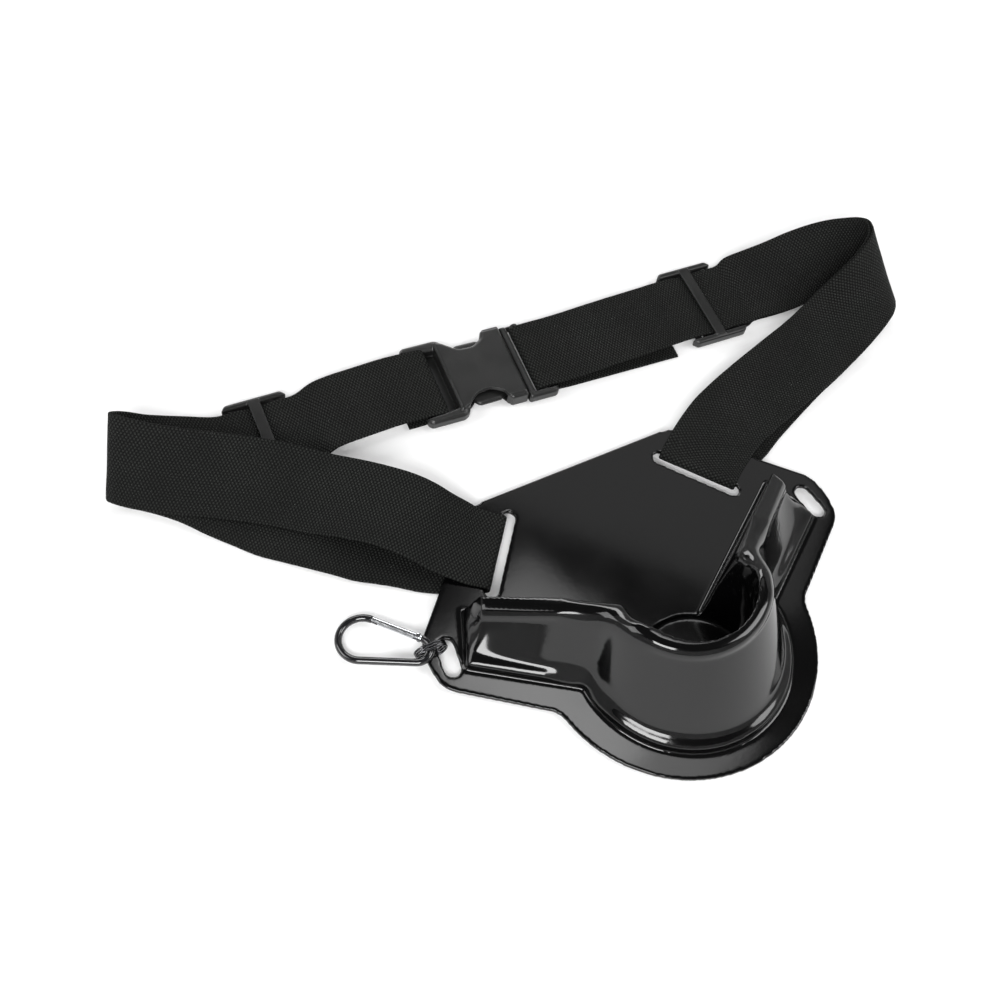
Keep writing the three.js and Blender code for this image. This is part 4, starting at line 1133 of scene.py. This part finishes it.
# Steel pieces: wires swept by geometry nodes along a path
def sweep_tree():
    tree = bpy.data.node_groups.new("wire_along_path", "GeometryNodeTree")
    face = tree.interface
    face.new_socket("Path", in_out="INPUT", socket_type="NodeSocketGeometry")
    radius = face.new_socket("Wire radius", in_out="INPUT", socket_type="NodeSocketFloat")
    sides = face.new_socket("Sides", in_out="INPUT", socket_type="NodeSocketInt")
    look = face.new_socket("Material", in_out="INPUT", socket_type="NodeSocketMaterial")
    face.new_socket("Wire", in_out="OUTPUT", socket_type="NodeSocketGeometry")
    given = tree.nodes.new("NodeGroupInput")
    made = tree.nodes.new("NodeGroupOutput")
    path = tree.nodes.new("GeometryNodeMeshToCurve")
    circle = tree.nodes.new("GeometryNodeCurvePrimitiveCircle")
    wire = tree.nodes.new("GeometryNodeCurveToMesh")
    wire.inputs["Fill Caps"].default_value = True
    real = tree.nodes.new("GeometryNodeRealizeInstances")
    paint = tree.nodes.new("GeometryNodeSetMaterial")
    joins = (
        (given.outputs["Path"], path.inputs["Mesh"]),
        (given.outputs["Wire radius"], circle.inputs["Radius"]),
        (given.outputs["Sides"], circle.inputs["Resolution"]),
        (path.outputs["Curve"], wire.inputs["Curve"]),
        (circle.outputs["Curve"], wire.inputs["Profile Curve"]),
        (wire.outputs["Mesh"], real.inputs["Geometry"]),
        (real.outputs["Geometry"], paint.inputs["Geometry"]),
        (given.outputs["Material"], paint.inputs["Material"]),
        (paint.outputs["Geometry"], made.inputs["Wire"]),
    )
    for source, target in joins:
        tree.links.new(source, target)
    return tree, {"radius": radius.identifier, "sides": sides.identifier, "material": look.identifier}


SWEEP, SWEEP_INPUTS = sweep_tree()


def swept_wire(points, radius, sides, material):
    mesh = bpy.data.meshes.new("path")
    mesh.from_pydata([tuple(p) for p in points], [(k, k + 1) for k in range(len(points) - 1)], [])
    work = placed("work", mesh)
    step = work.modifiers.new("wire", "NODES")
    step.node_group = SWEEP
    step[SWEEP_INPUTS["radius"]] = radius
    step[SWEEP_INPUTS["sides"]] = sides
    step[SWEEP_INPUTS["material"]] = MATERIALS[material]
    return outward(baked(work))


RING = {"wire": 1.2, "turns": 3, "pitch": 1.45, "round": 6.0, "left": -134.8, "right": -128.8, "y": 50.5}


def make_ring():
    straight = RING["right"] - RING["left"]
    arc = math.pi * RING["round"]
    turn_length = 2 * (straight + arc)
    steps = RING["turns"] * 56
    points = []
    for k in range(steps + 1):
        share = k / steps
        turns = RING["turns"] * share
        s = (turns - math.floor(turns)) * turn_length
        if s < straight:
            x, z = RING["left"] + s, -RING["round"]
        elif s < straight + arc:
            angle = (s - straight) / RING["round"] - math.pi / 2
            x, z = RING["right"] + RING["round"] * math.cos(angle), RING["round"] * math.sin(angle)
        elif s < 2 * straight + arc:
            x, z = RING["right"] - (s - straight - arc), RING["round"]
        else:
            angle = (s - 2 * straight - arc) / RING["round"] + math.pi / 2
            x, z = RING["left"] + RING["round"] * math.cos(angle), RING["round"] * math.sin(angle)
        y = RING["y"] + (share - 0.5) * RING["turns"] * RING["pitch"]
        points.append((x, y, z + RING["round"] + RING["wire"] / 2 + 0.1))
    mesh = swept_wire(points, RING["wire"] / 2, 14, "dark_steel")
    shade_smooth(mesh)
    lay_piece("wound_split_ring", to_metres(mesh), "dark_steel", "split_ring", "belt")


make_ring()

HOOK = {
    "wire": 4.4, "big": 13.0, "nose": 7.4, "centres": 32.0, "x": -139.0, "y": 53.0, "z": 8.45,
    "heading": 139.5, "tilt": 7.7, "tongue": 1.4, "tongue_reach": 3.4, "gate": 4.0, "slot": 2.2,
    "pin": 0.8, "pin_head": 1.7, "head_high": 0.4, "pin_play": 0.35,
}
HOOK_VOXEL = 0.24
GATE_VOXEL = 0.15
STEEL_EASE = 3
SPREAD = math.asin((HOOK["big"] - HOOK["nose"]) / HOOK["centres"])
SIDE_OUT = Vector((-math.sin(SPREAD), math.cos(SPREAD)))
GATE_START = SIDE_OUT * HOOK["nose"]
GATE_END = Vector((HOOK["centres"], 0)) + SIDE_OUT * HOOK["big"]
GATE_ALONG = (GATE_END - GATE_START).normalized()
GATE_LENGTH = (GATE_END - GATE_START).length
PIN_ALONG = HOOK["tongue_reach"] / 2 + CLEARANCE + 0.4
HOOK_PLACE = (
    Matrix.Translation((HOOK["x"], HOOK["y"], HOOK["z"]))
    @ Matrix.Rotation(math.radians(HOOK["heading"]), 4, "Z")
    @ Matrix.Rotation(math.radians(HOOK["tilt"]), 4, "Y")
    @ Matrix.Rotation(math.pi, 4, "X")
)


def on_gate(along, out):
    return GATE_START + GATE_ALONG * along + Vector((-GATE_ALONG.y, GATE_ALONG.x)) * out


def hook_points(steps=150):
    nose_arc = HOOK["nose"] * (math.pi - 2 * SPREAD)
    big_arc = HOOK["big"] * (math.pi + 2 * SPREAD)
    up = math.pi / 2 + SPREAD
    points = []
    for k in range(steps + 1):
        s = k / steps * (nose_arc + GATE_LENGTH + big_arc)
        if s < nose_arc:
            angle = up + s / HOOK["nose"]
            p = Vector((math.cos(angle), math.sin(angle))) * HOOK["nose"]
        elif s < nose_arc + GATE_LENGTH:
            p = GATE_START + GATE_ALONG * (s - nose_arc)
            p.y = -p.y
        else:
            angle = -up + (s - nose_arc - GATE_LENGTH) / HOOK["big"]
            p = Vector((HOOK["centres"] + HOOK["big"] * math.cos(angle), HOOK["big"] * math.sin(angle)))
        points.append((p.x, p.y, 0))
    return points


def pin_circle(radius, count=24):
    centre = on_gate(PIN_ALONG, 0)
    turns = [2 * math.pi * k / count for k in range(count)]
    return [centre + Vector((math.cos(a), math.sin(a))) * radius for a in turns]


def gate_block(start, end, wide, half):
    corners = [on_gate(start, -wide), on_gate(end, -wide), on_gate(end, wide), on_gate(start, wide)]
    return prism("gate_block", corners, -half, half)


def bored(mesh):
    bore = prism("bore", pin_circle(HOOK["pin"] + HOOK["pin_play"]), -HOOK["gate"], HOOK["gate"])
    return carved(mesh, bore, "DIFFERENCE")


def make_hook():
    wire = swept_wire(hook_points(), HOOK["wire"] / 2, 28, "black_steel")
    wide = HOOK["gate"] / 2 - 0.2
    half = HOOK["tongue"] / 2
    reach = HOOK["tongue_reach"]
    wire = carved(wire, gate_block(-0.6, reach + 0.8, wide, half), "UNION")
    wire = carved(wire, gate_block(GATE_LENGTH - reach, GATE_LENGTH + 0.6, wide, half), "UNION")
    wire = to_metres(moulded(bored(wire), HOOK_VOXEL, STEEL_EASE), HOOK_PLACE)
    lay_piece("bent_wire_hook", wire, "black_steel", "snap_hook", "belt")


def make_gate():
    start = on_gate(2 * CLEARANCE, 0)
    end = on_gate(GATE_LENGTH - CLEARANCE, 0)
    wide = HOOK["gate"]
    rod = swept_wire([(start.x, start.y, 0), (end.x, end.y, 0)], wide / 2, 40, "steel")
    half = HOOK["slot"] / 2
    reach = HOOK["tongue_reach"]
    rod = carved(rod, gate_block(-2, reach + 1.9, wide, half), "DIFFERENCE")
    rod = carved(rod, gate_block(GATE_LENGTH - reach - 0.8, GATE_LENGTH + 2, wide, half), "DIFFERENCE")
    rod = to_metres(moulded(bored(rod), GATE_VOXEL, STEEL_EASE), HOOK_PLACE)
    lay_piece("sprung_gate", rod, "steel", "hook_gate", "gate")


def make_pin():
    reach = HOOK["gate"] / 2 + CLEARANCE
    head = HOOK["head_high"]
    wide = HOOK["pin_head"]
    half = (
        (reach, HOOK["pin"]),
        (reach, wide),
        (reach + head * 0.4, wide),
        (reach + head * 0.8, wide * 0.86),
        (reach + head, wide * 0.62),
    )
    steps = [(-z, radius) for z, radius in reversed(half)] + list(half)
    rings = [[Vector((p.x, p.y, z)) for p in pin_circle(radius, 32)] for z, radius in steps]
    pin = to_metres(loft_mesh("pin", rings), HOOK_PLACE)
    lay_piece("riveted_pin", pin, "steel", "gate_pin", "belt")


make_hook()
make_gate()
make_pin()


# Stage: a pale floor that sweeps up into a low backdrop all round, and soft studio light
FLOOR_REACH = 3.2
BEND = 1.3
BACKDROP_HIGH = 3.4
ROUND_STEPS = 96
BEND_STEPS = 16
FLOOR_DROP = 0.0002
FLOOR_GLOW = 0.10
SKY_GLOW = 0.08


def make_stage():
    profile = [(FLOOR_REACH, 0.0)]
    for k in range(1, BEND_STEPS + 1):
        turn = math.pi / 2 * k / BEND_STEPS
        profile.append((FLOOR_REACH + BEND * math.sin(turn), BEND * (1 - math.cos(turn))))
    profile.append((FLOOR_REACH + BEND, BACKDROP_HIGH))
    points = []
    for reach, height in profile:
        for k in range(ROUND_STEPS):
            turn = 2 * math.pi * k / ROUND_STEPS
            points.append((reach * math.cos(turn), reach * math.sin(turn), height))
    open_top = loft_faces(len(profile), ROUND_STEPS)[:-1]
    faces = [tuple(reversed(face)) for face in open_top]
    mesh = bpy.data.meshes.new("floor")
    mesh.from_pydata(points, [], faces)
    shade_smooth(mesh)
    floor = placed("floor", mesh)
    floor.location.z = -FLOOR_DROP
    shader = Shader("pale_floor")
    cloud = shader.noise(2.0, 2.0)
    shader.put("Base Color", shader.blend(cloud, (0.88, 0.88, 0.88), (0.90, 0.90, 0.90)))
    shader.put("Roughness", 0.75)
    shader.put("Emission Color", (1, 1, 1, 1))
    shader.put("Emission Strength", FLOOR_GLOW)
    mesh.materials.append(shader.material)
    world = bpy.data.worlds.new("studio")
    world.use_nodes = True
    sky = world.node_tree.nodes["Background"]
    sky.inputs["Color"].default_value = (1, 1, 1, 1)
    sky.inputs["Strength"].default_value = SKY_GLOW
    bpy.context.scene.world = world
    bpy.context.scene.view_settings.view_transform = "Standard"


# Soft boxes overhead, which the plate mirrors
BOXES = (
    # name, x, y, z, wide, long, turned by degrees, watts
    ("wide box over the flange", 0.348, 0.182, 1.25, 0.30, 0.48, 24, 1.18),
    ("bright box over the flange", 0.29, 0.20, 1.22, 0.16, 0.30, 24, 0.45),
    ("faint box over the right ear", 0.71, 0.58, 1.25, 0.66, 0.50, -47, 0.62),
)
WALLS = (
    # name, place, aim, wide, high, watts
    ("front wall", (-0.9, -2.0, 1.0), (0.0, 0.0, 0.0), 3.0, 2.0, 2.0),
    ("behind the camera", (-0.9, -1.0, 1.3), (0.0, 0.0, 0.0), 0.9, 0.6, 26.0),
    ("left", (-1.5, 0.6, 1.2), (0.0, 0.0, 0.0), 1.2, 1.0, 14.0),
    ("right", (1.2, -0.8, 1.2), (0.0, 0.0, 0.0), 0.9, 0.8, 13.0),
    ("far side", (0.5, 1.9, 1.3), (0.1, 0.6, 0.0), 1.4, 0.5, 15.0),
)


def add_light(name, place, wide, high, watts):
    data = bpy.data.lights.new(name, "AREA")
    data.shape = "RECTANGLE"
    data.size = wide
    data.size_y = high
    data.energy = watts
    lamp = placed(name, data)
    lamp.location = place
    return lamp


def make_lights():
    for name, x, y, z, wide, long, turn, watts in BOXES:
        add_light(name, (x, y, z), wide, long, watts).rotation_euler.z = math.radians(turn)
    for name, place, aim, wide, high, watts in WALLS:
        lamp = add_light(name, place, wide, high, watts)
        lamp.rotation_euler = (Vector(aim) - Vector(place)).to_track_quat("-Z", "Y").to_euler()


make_stage()
make_lights()
